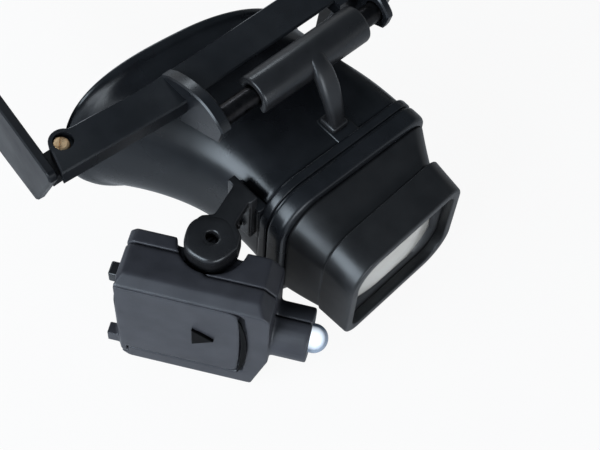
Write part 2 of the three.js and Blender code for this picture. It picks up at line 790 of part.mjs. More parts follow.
function eyecupHousing() {
  const shares = Array.from({ length: bellSteps + 1 }, (_, i) => (i / bellSteps) ** 0.85);
  const bead = rimBeadWidth / (ringForward - rimForward);
  const outerRings = shares.filter((s) => s < 1 - 1.5 * bead).map((s) => bellRing(s, 0));
  outerRings.push(bellRing(1 - 1.3 * bead, 0), bellRing(1 - bead, -rimBeadHeight), bellRing(1, -rimBeadHeight),
    bellRing(1, 0, rimBeadHeight));
  const innerRings = [bellRing(0, housingWall, -cutOverrun), ...shares.map((s) => bellRing(s, housingWall)),
    bellRing(1, housingWall, 2 * cutOverrun)];
  const shell = cut(loft(outerRings), loft(innerRings));
  const footForward = rodForward + armReach;
  const pad = blockSolid([armCentreX - armWidth / 2 - padMargin, armCentreX + armWidth / 2 + padMargin],
    [footForward - armFootLength - padMargin, ringForward],
    [housingTopAt(footForward) - housingWall, armFootBottom()]);
  const bossTop = knuckleTop - bracketRootHeight / 4;
  const boss = blockSolid([bracketRootX, ringCentreX - ringWidth / 2 + ringLedge + 2 * housingWall],
    [bracketRootRear, ringForward], [knuckleTop - bracketRootHeight, bossTop]);
  const inside = loft(innerRings);
  const screwHole = pin(smallScrewRadius + runningGap, armFootBottom() - 4 * housingWall,
    armFootBottom() + cutOverrun, 'up', armScrewCentre(), smallTurnSteps);
  const whole = joined(shell, cut(joined(pad, boss), inside));
  return cut(whole, screwHole, ...bracketScrewPlaces().map((centre) => pin(smallScrewRadius + runningGap, 0,
    smallScrewLength + runningGap, 'x', centre, smallTurnSteps)));
}

function bracketScrewPlaces() {
  const low = knuckleTop - bracketRootHeight;
  return bracketScrewShares.map((share) => ({
    x: bracketRootX - bracketRootThick,
    forward: bracketRootRear + bracketRootLength / 2,
    up: low + share * bracketRootHeight,
  }));
}

// A small pan-head screw; its head's underside is at the place given and its shank runs along the axis.
function smallScrew(axis, centre, length) {
  const slot = slotDepth / 2;
  const body = turned([[0, -smallHeadHeight], [0.8 * smallHeadRadius, -smallHeadHeight],
    [smallHeadRadius, -0.6 * smallHeadHeight], [smallHeadRadius, 0], [smallScrewRadius, 0],
    [smallScrewRadius, length], [0, length]], axis, centre, smallTurnSteps);
  const reach = 2 * smallHeadRadius;
  const thin = [-slotWidth / 2, slotWidth / 2];
  const deep = [-smallHeadHeight - cutOverrun, -smallHeadHeight + slot];
  const wide = [-reach, reach];
  const tools = axis === 'x' ? [[deep, thin, wide], [deep, wide, thin]] : [[wide, thin, deep], [thin, wide, deep]];
  const shifted = ([from, to], by) => [from + by, to + by];
  return cut(body, ...tools.map(([x, forward, up]) => blockSolid(shifted(x, centre.x),
    shifted(forward, centre.forward), shifted(up, centre.up))));
}

function bracketScrews() {
  return bracketScrewPlaces().map((centre) => smallScrew('x', centre, smallScrewLength));
}

// The ring is a stepped collar with a groove, a bevelled front shoulder and a spigot inside the housing.
function housingRing() {
  const first = loft([collarRing(0, ringForward), collarRing(0, ringForward + ringFirstDepth)]);
  const grooveRear = ringForward + ringFirstDepth - cutOverrun;
  const groove = loft([grooveRear, grooveRear + ringGrooveWidth + 2 * cutOverrun]
    .map((forward) => collarRing(ringGrooveDepth, forward)));
  const secondRear = ringForward + ringFirstDepth + ringGrooveWidth;
  const shoulder = loft([collarRing(0, secondRear), collarRing(0, ringFront - ringBevel),
    collarRing(ringBevel, ringFront)]);
  const spigotInset = ringLedge + housingWall + runningGap;
  const spigot = loft([-ringSpigotDepth, cutOverrun].map((step) => ovalRing(ringCentreX, ringCentreZ,
    ringWidth / 2 - spigotInset, ringHeight / 2 - spigotInset, spigotPower, ringForward + step)));
  const opening = frontSolid(roundedRectangle(ringCentreX, ringCentreZ, ringOpeningWidth, ringOpeningHeight,
    ringOpeningCorner), ringForward - 2 * ringSpigotDepth, ringFront - ringForward + 3 * ringSpigotDepth);
  return cut(joined(first, groove, shoulder, spigot), opening);
}

function collarRing(inset, forward) {
  const shift = new THREE.Vector3(ringCentreX - lensCentreX, 0, ringCentreZ - lensCentreZ);
  return rectangleRing(ringWidth - 2 * inset, ringHeight - 2 * inset, ringCorner, forward)
    .map((p) => p.clone().add(shift));
}

// Points of a rounded rectangle as a ring, at a place along the forward direction.
function rectangleRing(width, height, radius, forward, share = 1) {
  const corners = [[1, 1], [-1, 1], [-1, -1], [1, -1]];
  return corners.flatMap(([side, level], quarter) => Array.from({ length: arcSteps + 1 }, (_, i) => {
    const angle = (Math.PI / 2) * (quarter + i / arcSteps);
    const x = side * (width / 2 - radius) + radius * Math.cos(angle);
    const up = level * (height / 2 - radius) + radius * Math.sin(angle);
    return new THREE.Vector3(lensCentreX + x * share, -forward, lensCentreZ + up * share);
  }));
}

// Turns a ring of points in to the toe of the lens.
function toed(ring) {
  const centre = new THREE.Vector3(lensCentreX, -bezelFrontForward, 0);
  const up = new THREE.Vector3(0, 0, 1);
  return ring.map((p) => p.clone().sub(centre).applyAxisAngle(up, lensToe).add(centre));
}

function bezel() {
  const front = bezelFrontForward;
  const ease = bezelEdgeRound;
  const body = loft([
    rectangleRing(bezelWidth + bezelSwell, bezelHeight + bezelSwell, bezelCorner, front - bezelDepth)
      .map((p) => p.add(new THREE.Vector3(bezelSwell / 2, 0, bezelSwell / 2))),
    rectangleRing(bezelWidth, bezelHeight, bezelCorner, front - ease),
    rectangleRing(bezelWidth - 2 * ease, bezelHeight - 2 * ease, bezelCorner - ease, front),
  ].map(toed));
  const opening = loft([
    rectangleRing(bezelOpeningWidth, bezelOpeningHeight, bezelOpeningCorner, front - bezelDepth),
    rectangleRing(bezelOpeningWidth, bezelOpeningHeight, bezelOpeningCorner, front + cutOverrun),
  ].map(toed));
  const seat = loft([
    rectangleRing(...seatSize(0), front - bezelDepth - cutOverrun),
    rectangleRing(...seatSize(0), front - bezelFrontWall),
  ].map(toed));
  return cut(body, opening, seat);
}

// The recess in the bezel that takes the lenses, less a slack all round.
function seatSize(slack) {
  const wall = bezelSideWall + slack;
  return [bezelWidth - 2 * wall, bezelHeight - 2 * wall, bezelCorner - wall];
}

// A lens with a flat side and a bulging side; the bulge faces forward or back.
function lens(edgeFront, edge, bulge, side, landShare) {
  const size = seatSize(runningGap);
  const flat = side > 0 ? edgeFront - edge : edgeFront;
  const rim = side > 0 ? edgeFront : edgeFront - edge;
  const domed = lensRingShares.map((share) => rectangleRing(...size, rim + side * bulge * (1 - share ** 2),
    share * landShare));
  return loft([rectangleRing(...size, flat), rectangleRing(...size, rim), ...domed].map(toed));
}

function lensStack() {
  const front = bezelFrontForward - bezelFrontWall;
  const spacer = front - frontLensEdge;
  return { front, spacer, rear: spacer - spacerDepth };
}

function frontLens() {
  return lens(lensStack().front, frontLensEdge, frontLensBulge, 1, frontLandShare);
}

function rearLens() {
  return lens(lensStack().rear, rearLensEdge, rearLensBulge, -1, rearLandShare);
}

function lensSpacer() {
  const size = seatSize(runningGap);
  const from = lensStack().rear;
  const to = lensStack().spacer;
  const outer = loft([rectangleRing(...size, from), rectangleRing(...size, to)].map(toed));
  const narrow = size.map((value, i) => value - (i < 2 ? 2 : 1) * spacerWall);
  const inner = loft([rectangleRing(...narrow, from - cutOverrun), rectangleRing(...narrow, to + cutOverrun)].map(toed));
  return cut(outer, inner);
}

// The tube tapers from the ring to the bezel; a spigot slides in the ring and a nose holds the lenses.
function lensTube() {
  const seam = bezelFrontForward - bezelDepth;
  const noseFront = lensStack().rear - rearLensEdge;
  const back = (inset, forward) => rectangleRing(tubeBackWidth - 2 * inset, tubeBackHeight - 2 * inset,
    tubeCorner, forward).map((p) => p.clone().add(new THREE.Vector3(tubeBackShift, 0, tubeBackShift)));
  const front = (inset, forward) => toed(rectangleRing(tubeFrontWidth - 2 * inset, tubeFrontHeight - 2 * inset,
    tubeCorner - inset / 2, forward));
  const cone = loft([back(0, ringFront), back(0, ringFront + tubeHeel), front(0, seam - tubeCollar), front(0, seam)]);
  const [noseWidth, noseHeight, noseRadius] = seatSize(runningGap);
  const nose = loft([toed(rectangleRing(noseWidth, noseHeight, noseRadius, seam - tubeCollar)),
    toed(rectangleRing(noseWidth, noseHeight, noseRadius, noseFront))]);
  const spigotWidth = ringOpeningWidth - 2 * tubeSpigotSlack;
  const spigotHeight = ringOpeningHeight - 2 * tubeSpigotSlack;
  const shift = new THREE.Vector3(ringCentreX - lensCentreX, 0, ringCentreZ - lensCentreZ);
  const spigotRing = (inset, forward) => rectangleRing(spigotWidth - 2 * inset, spigotHeight - 2 * inset,
    ringOpeningCorner - tubeSpigotSlack, forward).map((p) => p.clone().add(shift));
  const spigot = loft([spigotRing(0, ringFront - tubeSpigotDepth), spigotRing(0, ringFront + tubeHeel)]);
  const hollow = loft([spigotRing(tubeWall, ringFront - 2 * tubeSpigotDepth), spigotRing(tubeWall, ringFront),
    toed(rectangleRing(noseWidth - 2 * tubeWall, noseHeight - 2 * tubeWall, noseRadius, seam)),
    toed(rectangleRing(noseWidth - 2 * tubeWall, noseHeight - 2 * tubeWall, noseRadius, noseFront + cutOverrun))]);
  return cut(joined(cone, nose, spigot), hollow);
}

// Places in the lamp are given from its pivot: along the light, across to the outer side, and down.
function lampBlock([alongFrom, alongTo], [acrossFrom, acrossTo], [dropFrom, dropTo]) {
  return blockSolid([-acrossTo, -acrossFrom], [alongFrom, alongTo], [-dropTo, -dropFrom]);
}

function inPlace(manifold) {
  const geometry = geometryOf(manifold);
  geometry.rotateZ(lampAngle);
  geometry.translate(lampPivotX, -lampPivotForward, lampTop);
  return solidOf(geometry);
}

function lampCentre(across, drop) {
  return { x: -across, forward: 0, up: -drop };
}

// The pod is the shape that its section and its side outline have in common, with the light tube.
function podBody(inset) {
  const foot = podFootChamfer;
  const section = polygon([
    [-(podInner + inset), -inset], [-(podLedge - inset / 2), -inset], [-(podOuter - inset), -(podShoulder + inset / 2)],
    [-(podOuter - inset), -(podHeight - foot)], [-(podOuter - foot), -(podHeight - inset)],
    [-(podInner + foot / 2), -(podHeight - inset)], [-(podInner + inset), -(podHeight - foot / 2)],
  ]);
  const [rear, front, low] = [-podRear + inset, podFront - inset, -podHeight + inset];
  const side = polygon([
    [rear + podCorner / 2, -inset], [rear, -(inset + podCorner / 2)], [rear, low + podCorner], [rear + podCorner, low],
    [front - podNoseSlant - podCorner / 2, low], [front - podNoseSlant, low + podCorner / 2],
    [front, low + podNoseRise], [front, -(inset + podCorner)], [front - podCorner, -inset],
  ]);
  const bar = frontSolid(section, -podRear - cutOverrun, podRear + podFront + 2 * cutOverrun);
  const plate = sideSolid(side, -podOuter - cutOverrun, cutOverrun);
  const tube = pin(lightTubeRadius - inset, podFront - podWall, podFront + lightTubeLength, 'forward',
    lampCentre(lightAcross, lightDrop));
  return joined(common(bar, plate), tube);
}

// The part of the pod on the inner side of its stepped seam, grown by a gap.
function innerSide(gap) {
  const reach = podRear + podFront + lightTubeLength;
  const low = [-podHeight, 2 * podHeight];
  return joined(
    lampBlock([-reach, reach], [-reach, podSeamRear + gap], low),
    lampBlock([podSeamStep - gap, reach], [-reach, lightAcross + gap], low),
  );
}

function lightBore() {
  const centre = lampCentre(lightAcross, lightDrop);
  const tip = podFront + lightTubeLength;
  return joined(
    pin(ledRadius + runningGap, bayFront() - cutOverrun, tip + cutOverrun, 'forward', centre),
    pin(ledFlangeRadius + runningGap, bayFront() - cutOverrun, ledShoulder(), 'forward', centre),
  );
}

function ledShoulder() {
  return podFront + lightTubeLength + ledReach - ledRadius - ledBodyDepth + ledFlangeDepth;
}

function bayFront() {
  return podFront - podWall;
}

function lampBay() {
  return lampBlock([bayRear, bayFront()], [bayInner, bayOuter],
    [lightDrop - bayHalfHeight, lightDrop + bayHalfHeight]);
}

function shellScrewPlaces() {
  return [
    { along: -podRear + shellScrewInset, seam: podSeamRear },
    { along: podFront - shellScrewInset - podNoseSlant, seam: lightAcross },
  ];
}

// A screw through the inner shell into the outer shell, with its head sunk in the inner side.
function shellScrews() {
  return shellScrewPlaces().map(({ along, seam }) => {
    const geometry = geometryOf(smallScrew('x', { x: 0, forward: 0, up: 0 },
      seam + shellScrewBite - podInner - shellScrewSink));
    geometry.scale(-1, 1, 1);
    geometry.translate(-(podInner + shellScrewSink), -along, -shellScrewDrop);
    return solidOf(geometry);
  });
}

function shellScrewHoles() {
  return shellScrewPlaces().flatMap(({ along, seam }) => {
    const centre = { x: 0, forward: along, up: -shellScrewDrop };
    return [
      pin(smallScrewRadius + runningGap, -(seam + shellScrewBite + runningGap), 0, 'x', centre, smallTurnSteps),
      pin(smallHeadRadius + runningGap, -(podInner + shellScrewSink), cutOverrun, 'x', centre),
    ];
  });
}

function lampInnerShell() {
  const half = common(podBody(0), innerSide(0));
  const pivot = { x: 0, forward: 0, up: 0 };
  const recess = pin(recessRadius, -recessDepth, cutOverrun, 'up', pivot);
  const lug = common(pin(lugRadius, -recessDepth - lugHeight, -recessDepth, 'up', pivot), innerSide(0));
  const hole = pin(pivotScrewRadius + runningGap, -recessDepth - pivotScrewBite - runningGap, cutOverrun, 'up',
    pivot, smallTurnSteps);
  return cut(joined(cut(half, recess), lug), hole, lampBay(), lightBore(), ...shellScrewHoles());
}

function lampOuterShell() {
  const skin = cut(podBody(-cutOverrun), podBody(seamDepth));
  const half = cut(podBody(0), innerSide(0), common(skin, innerSide(seamWidth)));
  const recess = pin(recessRadius, -recessDepth, cutOverrun, 'up', { x: 0, forward: 0, up: 0 });
  const pocketCentre = { x: 0, forward: cellAlong, up: -cellDrop };
  const pocket = pin(pocketRadius, -podOuter, -pocketFloor(), 'x', pocketCentre);
  const notch = lampBlock([cellAlong + cellRadius - stripNotch, bayRear + cutOverrun],
    [pocketFloor(), doorInner + cutOverrun], [cellDrop - contactWidth / 2 - runningGap,
      cellDrop + contactWidth / 2 + runningGap]);
  return cut(half, recess, pocket, notch, lampBay(), lightBore(), doorRoom(), knobRoom(), ...shellScrewHoles());
}

function pocketFloor() {
  return doorInner - seamGap - 2 * cellThick - contactThick;
}

// The door from the side, with its bowed front end, grown by a gap at the edges and by another in front.
function doorOutline(gap, endGap) {
  const [top, foot] = [-(doorTop + seamGap - gap), -(doorFoot - seamGap + gap)];
  const side = doorFront - doorBow + endGap;
  const middle = (top + foot) / 2;
  const shape = new THREE.Shape();
  shape.moveTo(-podRear, top);
  shape.lineTo(side - doorCorner, top);
  shape.quadraticCurveTo(side, top, side + doorBow / 2, top - doorCorner);
  shape.quadraticCurveTo(side + doorBow, middle, side + doorBow / 2, foot + doorCorner);
  shape.quadraticCurveTo(side, foot, side - doorCorner, foot);
  shape.lineTo(-podRear, foot);
  return shape;
}

function doorRoom() {
  const face = sideSolid(doorOutline(seamGap, doorEndGap), -podOuter - cutOverrun, -doorInner);
  const capWall = lampBlock([-podRear - 2 * cutOverrun, -podRear + podWall], [doorCapAcross - seamGap,
    podOuter + cutOverrun], [doorCapTop - seamGap, doorCapFoot + seamGap]);
  return joined(face, capWall, ...doorRails(runningGap, podRear + cutOverrun));
}

// Rails along the door's long edges that run in grooves of the shell.
function doorRails(gap, rear) {
  const [top, foot] = [doorTop + seamGap, doorFoot - seamGap];
  const front = doorFront - doorBow - doorCorner - railShortfall;
  return [[top - railReach, top + railReach], [foot - railReach, foot + railReach]].map(([from, to]) => lampBlock(
    [-rear, front + gap], [doorInner, doorInner + railThick + gap], [from - gap, to + gap]));
}

function batteryDoor() {
  const face = sideSolid(doorOutline(0, 0), -podOuter, -doorInner);
  const cap = new THREE.Shape();
  cap.moveTo(-podOuter, podRear);
  cap.lineTo(-podOuter, podRear - doorCapThick);
  cap.lineTo(-doorCapAcross, podRear - doorCapThick);
  cap.lineTo(-doorCapAcross, podRear);
  cap.quadraticCurveTo(-(doorCapAcross + podOuter) / 2, podRear + 2 * doorCapBulge, -podOuter, podRear);
  const end = planSolid(cap, -doorCapFoot, doorCapFoot - doorCapTop);
  const across = podOuter - doorTabInset;
  const tabFoot = doorCapFoot - doorTabRise;
  const tab = lampBlock([-podRear - doorCapBulge - doorTabLength / 2, -podRear],
    [across - doorTabWidth / 2, across + doorTabWidth / 2], [tabFoot - doorTabHeight, tabFoot]);
  const arrow = sideSolid(polygon([[arrowPlace, -(arrowDrop - arrowHeight / 2)],
    [arrowPlace, -(arrowDrop + arrowHeight / 2)], [arrowPlace + arrowLength, -arrowDrop]]),
  -podOuter - cutOverrun, -podOuter + arrowSink);
  return cut(joined(face, end, tab, ...doorRails(0, podRear - railReach)), arrow);
}

// Room for the knob: a slot in the rear wall and a wider pocket behind it, open to the seam.
function knobRoom() {
  const half = knobSize / 2 + runningGap;
  const slot = lampBlock([-podRear - cutOverrun, -podRear + podWall + cutOverrun], [knobAcross - half, knobAcross + half],
    [knobDrop - half - knobTravel, knobDrop + half]);
  const back = -podRear + podWall;
  const flangeHalf = knobSize / 2 + knobFlangeMargin + runningGap;
  const pocket = lampBlock([back, back + knobFlangeThick + runningGap], [podInner, knobAcross + flangeHalf],
    [knobDrop - knobFlangeRise - knobTravel - runningGap, knobDrop + knobFlangeFall + runningGap]);
  return joined(slot, pocket);
}

function switchKnob() {
  const half = knobSize / 2;
  const back = -podRear + podWall;
  const stem = lampBlock([back - knobReach, back + knobFlangeThick / 2], [knobAcross - half, knobAcross + half],
    [knobDrop - half, knobDrop + half]);
  const flange = lampBlock([back, back + knobFlangeThick],
    [knobAcross - half - knobFlangeMargin, knobAcross + half + knobFlangeMargin],
    [knobDrop - knobFlangeRise, knobDrop + knobFlangeFall]);
  return joined(stem, flange);
}

function coinCell(order) {
  const near = pocketFloor() + contactThick + order * cellThick;
  const far = near + cellThick;
  const ease = 0.12 * cellThick;
  return turned([[0, -far], [cellRadius - ease, -far], [cellRadius, -far + ease], [cellRadius, -near], [0, -near]],
    'x', { x: 0, forward: cellAlong, up: -cellDrop });
}

// A flat strip under the cells that runs through the wall to the board.
function contactPlate() {
  return lampBlock([cellAlong - contactLength / 2, boardRear()], [pocketFloor(), pocketFloor() + contactThick],
    [cellDrop - contactWidth / 2, cellDrop + contactWidth / 2]);
}

// A bent strip that presses on the edge of the cells and runs to the board above the plate.
function contactSpring() {
  const edge = cellAlong + cellRadius;
  const low = pocketFloor() + 2 * contactThick + seamGap;
  const wide = [cellDrop - contactWidth / 2, cellDrop + contactWidth / 2];
  return joined(
    lampBlock([edge, edge + contactThick], [low, doorInner - 2 * seamGap], wide),
    lampBlock([edge, boardRear()], [low, low + contactThick], wide),
  );
}

function boardRear() {
  return bayRear + boardPlace;
}

function lampBoard() {
  return lampBlock([boardRear(), boardRear() + boardThick], [bayInner, bayOuter],
    [lightDrop - boardHeight / 2, lightDrop + boardHeight / 2]);
}

function led() {
  const tip = podFront + lightTubeLength + ledReach;
  const rear = ledShoulder() - ledFlangeDepth;
  const dome = Array.from({ length: arcSteps }, (_, i) => {
    const angle = (Math.PI / 2) * ((i + 1) / arcSteps);
    return [ledRadius * Math.cos(angle) * (i + 1 < arcSteps ? 1 : 0), tip - ledRadius + ledRadius * Math.sin(angle)];
  });
  return turned([[0, rear], [ledFlangeRadius, rear], [ledFlangeRadius, ledShoulder()], [ledRadius, ledShoulder()],
    [ledRadius, tip - ledRadius], ...dome], 'forward', lampCentre(lightAcross, lightDrop));
}

function ledLeads() {
  const to = ledShoulder() - ledFlangeDepth;
  const from = boardRear() + boardThick;
  return [-1, 1].map((side) => pin(leadRadius, from, to, 'forward',
    lampCentre(lightAcross, lightDrop + (side * leadSpacing) / 2), smallTurnSteps));
}

// The knuckle with its arm plate and the root plate that is screwed to the housing.
function lampBracket() {
  const corners = Array.from({ length: knuckleSides }, (_, i) => [-1, 1].map((side) => {
    const angle = (2 * Math.PI * (i + side * knuckleCornerShare)) / knuckleSides + Math.PI / 2;
    return [lampPivotX + knuckleRadius * Math.cos(angle), -lampPivotForward + knuckleRadius * Math.sin(angle)];
  })).flat();
  const knuckle = planSolid(polygon(corners), knuckleBottom, knuckleTop - knuckleBottom, knuckleEase);
  const rootMid = bracketRootRear + bracketRootLength / 2;
  const half = bracketArmWidth / 2;
  const armTop = knuckleTop;
  const arm = planSolid(polygon([
    [lampPivotX, -(lampPivotForward + half)], [bracketRootX, -(rootMid + half)], [bracketRootX, -(rootMid - half)],
    [lampPivotX, -(lampPivotForward - half)],
  ]), armTop - bracketArmThick, bracketArmThick);
  const root = blockSolid([bracketRootX - bracketRootThick, bracketRootX],
    [bracketRootRear, bracketRootRear + bracketRootLength], [knuckleTop - bracketRootHeight, knuckleTop]);
  const brace = sideBrace(rootMid);
  const centre = { x: lampPivotX, forward: lampPivotForward, up: 0 };
  const seat = knuckleTop - pivotScrewSink - pivotHeadHeight;
  const headHole = pin(pivotHeadRadius + runningGap, seat, knuckleTop + cutOverrun, 'up', centre, smallTurnSteps);
  const hole = pin(pivotScrewRadius + runningGap, knuckleBottom - cutOverrun, seat + cutOverrun, 'up', centre,
    smallTurnSteps);
  const screwHoles = bracketScrewPlaces().map((place) => pin(smallScrewRadius + runningGap, -cutOverrun,
    bracketRootThick + cutOverrun, 'x', place, smallTurnSteps));
  return cut(joined(knuckle, arm, root, brace), headHole, hole, ...screwHoles);
}

// A thin three-cornered brace between the arm plate and the root plate.
function sideBrace(middle) {
  const from = bracketRootX - bracketRootThick;
  const top = knuckleTop - bracketArmThick / 2;
  return frontSolid(polygon([[from + weld, top], [from - braceReach, top], [from + weld, top - braceDrop]]),
    middle - braceThick / 2, braceThick);
}

function pivotScrew() {
  const centre = { x: lampPivotX, forward: lampPivotForward, up: 0 };
  const top = knuckleTop - pivotScrewSink;
  const seat = top - pivotHeadHeight;
  const end = lampTop - recessDepth - pivotScrewBite;
  const body = turned([[0, end], [pivotScrewRadius, end], [pivotScrewRadius, seat], [pivotHeadRadius, seat],
    [pivotHeadRadius, top], [0, top]], 'up', centre, smallTurnSteps);
  const slot = blockSolid([lampPivotX - pivotHeadRadius - cutOverrun, lampPivotX + pivotHeadRadius + cutOverrun],
    [lampPivotForward - slotWidth / 2, lampPivotForward + slotWidth / 2], [top - slotDepth, top + cutOverrun]);
  return cut(body, slot);
}

function pivotWasher() {
  const bottom = lampTop - recessDepth;
  const inner = pivotScrewRadius + runningGap;
  return turned([[inner, bottom], [washerRadius, bottom], [washerRadius, bottom + washerThick],
    [inner, bottom + washerThick], [inner, bottom]], 'up',
  { x: lampPivotX, forward: lampPivotForward, up: 0 }, smallTurnSteps);
}

// The bridge block hangs under the bar's middle; its two legs carry the pads.
function bridgeScrewPlaces() {
  return [-1, 1].map((side) => ({ x: side * bridgeScrewHalfSpan, forward: bridgeForward + bridgeBlockDepth / 2,
    up: -barThick - bridgeBlockThick }));
}

function bridgeScrewHoles() {
  return bridgeScrewPlaces().map((centre) => pin(smallScrewRadius + runningGap, -cutOverrun,
    bridgeScrewLength + runningGap, 'up', centre, smallTurnSteps));
}

function bridgeScrews() {
  return bridgeScrewPlaces().map((centre) => smallScrew('up', centre, bridgeScrewLength));
}

function legLength() {
  return Math.hypot(bridgeLegDrop, bridgeLegFootHalf - bridgeLegTopHalf);
}

// Leans a solid drawn upright under the origin, as the leg on the wearer's left.
function leaned(manifold) {
  const geometry = geometryOf(manifold);
  geometry.rotateY(-Math.atan2(bridgeLegFootHalf - bridgeLegTopHalf, bridgeLegDrop));
  geometry.translate(bridgeLegTopHalf, 0, -barThick - bridgeBlockThick / 2);
  return solidOf(geometry);
}

function noseBridge() {
  const block = blockSolid([-bridgeBlockWidth / 2, bridgeBlockWidth / 2],
    [bridgeForward, bridgeForward + bridgeBlockDepth], [-barThick - bridgeBlockThick, -barThick]);
  const outline = polygon([
    [bridgeForward, 0], [bridgeForward + bridgeBlockDepth, 0], [bridgeForward + bridgeBlockDepth, -legShoulder],
    [legFootForward + legFootDepth, -legLength()], [legFootForward, -legLength()], [bridgeForward, -legShoulder],
  ]);
  const leg = leaned(sideSolid(outline, -bridgeLegThick / 2, bridgeLegThick / 2));
  return cut(joined(block, leg, mirrored(leg)), ...bridgeScrewHoles());
}

function nosePad() {
  const middle = -legLength() + nosePadLength / 2;
  const inner = -bridgeLegThick / 2;
  const outline = roundedRectangle(legFootForward + legFootDepth / 2, middle, nosePadWidth, nosePadLength,
    nosePadWidth / 2 - nosePadEase);
  return leaned(sideSolid(outline, inner - nosePadThick, inner, nosePadEase));
}

// Colours and surfaces
const finishes = {
  frame: [0x23262c, 0.42, 0],
  housing: [0x24272e, 0.4, 0],
  lamp: [0x2c3038, 0.46, 0],
  clip: [0x1b1d22, 0.34, 0],
  bezel: [0x1a1c22, 0.36, 0],
  glass: [0xd6dfe4, 0.08, 0],
  diode: [0xf4f8ff, 0.15, 0],
  rubber: [0x1c1c1e, 0.85, 0],
  brass: [0xa98a55, 0.35, 0.9],
  steel: [0x9a9da2, 0.32, 0.9],
  black_steel: [0x26272a, 0.4, 0.8],
  nickel: [0xb9b6ad, 0.28, 0.9],
  board: [0x1d4a33, 0.6, 0],
};

const group = new THREE.Group();

function part(name, manifold, finish) {
  const geometry = geometryOf(manifold);
  geometry.computeVertexNormals();
  const [color, roughness, metalness] = finishes[finish];
  const mesh = new THREE.Mesh(geometry, new THREE.MeshStandardMaterial({ color, roughness, metalness }));
  mesh.name = name;
  group.add(mesh);
}

// A row of like pieces, numbered from one.
function parts(name, manifolds, finish) {
  manifolds.forEach((manifold, i) => part(`${name}_${i + 1}`, manifold, finish));
}

part('brow_bar', browBar(), 'frame');
part('nose_bridge', noseBridge(), 'frame');
part('nose_pad_left', nosePad(), 'rubber');
part('nose_pad_right', mirrored(nosePad()), 'rubber');
parts('bridge_screw', bridgeScrews(), 'steel');
part('hinge_screw_left', hingeScrew(), 'brass');
part('hinge_screw_right', mirrored(hingeScrew()), 'brass');
part('temple_left', temple(), 'frame');
part('temple_right', mirrored(temple()), 'frame');
part('slide_rod', slideRod(), 'black_steel');
part('slider_clip', sliderClip(), 'clip');
part('arm_screw', armScrew(), 'steel');
part('eyecup_housing', eyecupHousing(), 'housing');
part('housing_ring', housingRing(), 'housing');
part('lamp_bracket', lampBracket(), 'clip');
parts('bracket_screw', bracketScrews(), 'black_steel');
part('pivot_screw', pivotScrew(), 'black_steel');
part('pivot_washer', pivotWasher(), 'steel');
part('lens_tube', lensTube(), 'bezel');
part('bezel', bezel(), 'bezel');
part('front_lens', frontLens(), 'glass');
part('lens_spacer', lensSpacer(), 'clip');
part('rear_lens', rearLens(), 'glass');
part('lamp_outer_shell', inPlace(lampOuterShell()), 'lamp');
part('lamp_inner_shell', inPlace(lampInnerShell()), 'lamp');
parts('shell_screw', shellScrews().map(inPlace), 'steel');
part('led', inPlace(led()), 'diode');
parts('led_lead', ledLeads().map(inPlace), 'nickel');
part('lamp_board', inPlace(lampBoard()), 'board');
part('contact_spring', inPlace(contactSpring()), 'nickel');
part('contact_plate', inPlace(contactPlate()), 'nickel');
part('coin_cell_1', inPlace(coinCell(0)), 'nickel');
part('coin_cell_2', inPlace(coinCell(1)), 'nickel');
part('battery_door', inPlace(batteryDoor()), 'lamp');
part('switch_knob', inPlace(switchKnob()), 'clip');

// The whole part is set down with its lowest points on the ground, in the middle of its outline.
const extent = new THREE.Box3().setFromObject(group);
const middle = extent.getCenter(new THREE.Vector3());
group.children.forEach((mesh) => mesh.geometry.translate(-middle.x, -middle.y, -extent.min.z));

export default group;
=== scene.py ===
# %% [markdown]
# # A lighted loupe on a spectacle frame
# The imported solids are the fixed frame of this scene, and every piece below is placed in their
# drawing. Sizes are in millimetres unless a comment says otherwise, and `mm` turns them to metres.

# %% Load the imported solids
import json
import math

import bmesh
import bpy
from mathutils import Matrix, Vector


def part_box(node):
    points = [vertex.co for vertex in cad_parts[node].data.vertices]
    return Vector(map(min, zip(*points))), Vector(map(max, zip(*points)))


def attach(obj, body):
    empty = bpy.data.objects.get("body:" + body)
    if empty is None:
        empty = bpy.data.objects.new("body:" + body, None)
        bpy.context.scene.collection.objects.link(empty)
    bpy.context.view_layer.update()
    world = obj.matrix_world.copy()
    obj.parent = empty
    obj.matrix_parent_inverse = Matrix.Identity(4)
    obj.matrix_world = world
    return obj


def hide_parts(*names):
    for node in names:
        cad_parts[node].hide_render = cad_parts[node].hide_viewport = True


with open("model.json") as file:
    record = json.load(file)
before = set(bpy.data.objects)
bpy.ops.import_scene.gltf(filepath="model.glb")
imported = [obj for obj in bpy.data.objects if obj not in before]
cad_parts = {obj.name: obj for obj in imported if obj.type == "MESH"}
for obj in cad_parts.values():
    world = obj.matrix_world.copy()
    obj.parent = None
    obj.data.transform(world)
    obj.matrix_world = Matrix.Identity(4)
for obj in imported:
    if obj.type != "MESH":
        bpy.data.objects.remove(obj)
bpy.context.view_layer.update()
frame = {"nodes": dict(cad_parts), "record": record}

mm = 0.001

# %% [markdown]
# ## The drawing's own origin
# The pieces were drawn from the middle of the brow bar's rear top edge: x to the wearer's left,
# `forward` along the line of sight and `up`. The rod's place in that drawing is known, so the
# packed rod shows where the drawing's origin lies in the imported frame.

# %% Find the drawing's origin
ROD_FORWARD, ROD_UP = 13.1, -0.95
rod_low, rod_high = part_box("slide_rod")
rod_middle = (rod_low + rod_high) / 2
ORIGIN_Y = rod_middle.y / mm + ROD_FORWARD
ORIGIN_Z = rod_middle.z / mm - ROD_UP


def at(x, forward, up):
    """A place of the drawing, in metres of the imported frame."""
    return Vector((x, ORIGIN_Y - forward, ORIGIN_Z + up)) * mm


print("drawing origin in the frame:", [round(v / mm, 2) for v in at(0, 0, 0)])

# %% [markdown]
# ## Camera
# The photograph looks down on the frame from the wearer's right and front. The camera's place was
# worked out from corners that show in the picture: the bar's ends, the ears, the ring and the lamp.

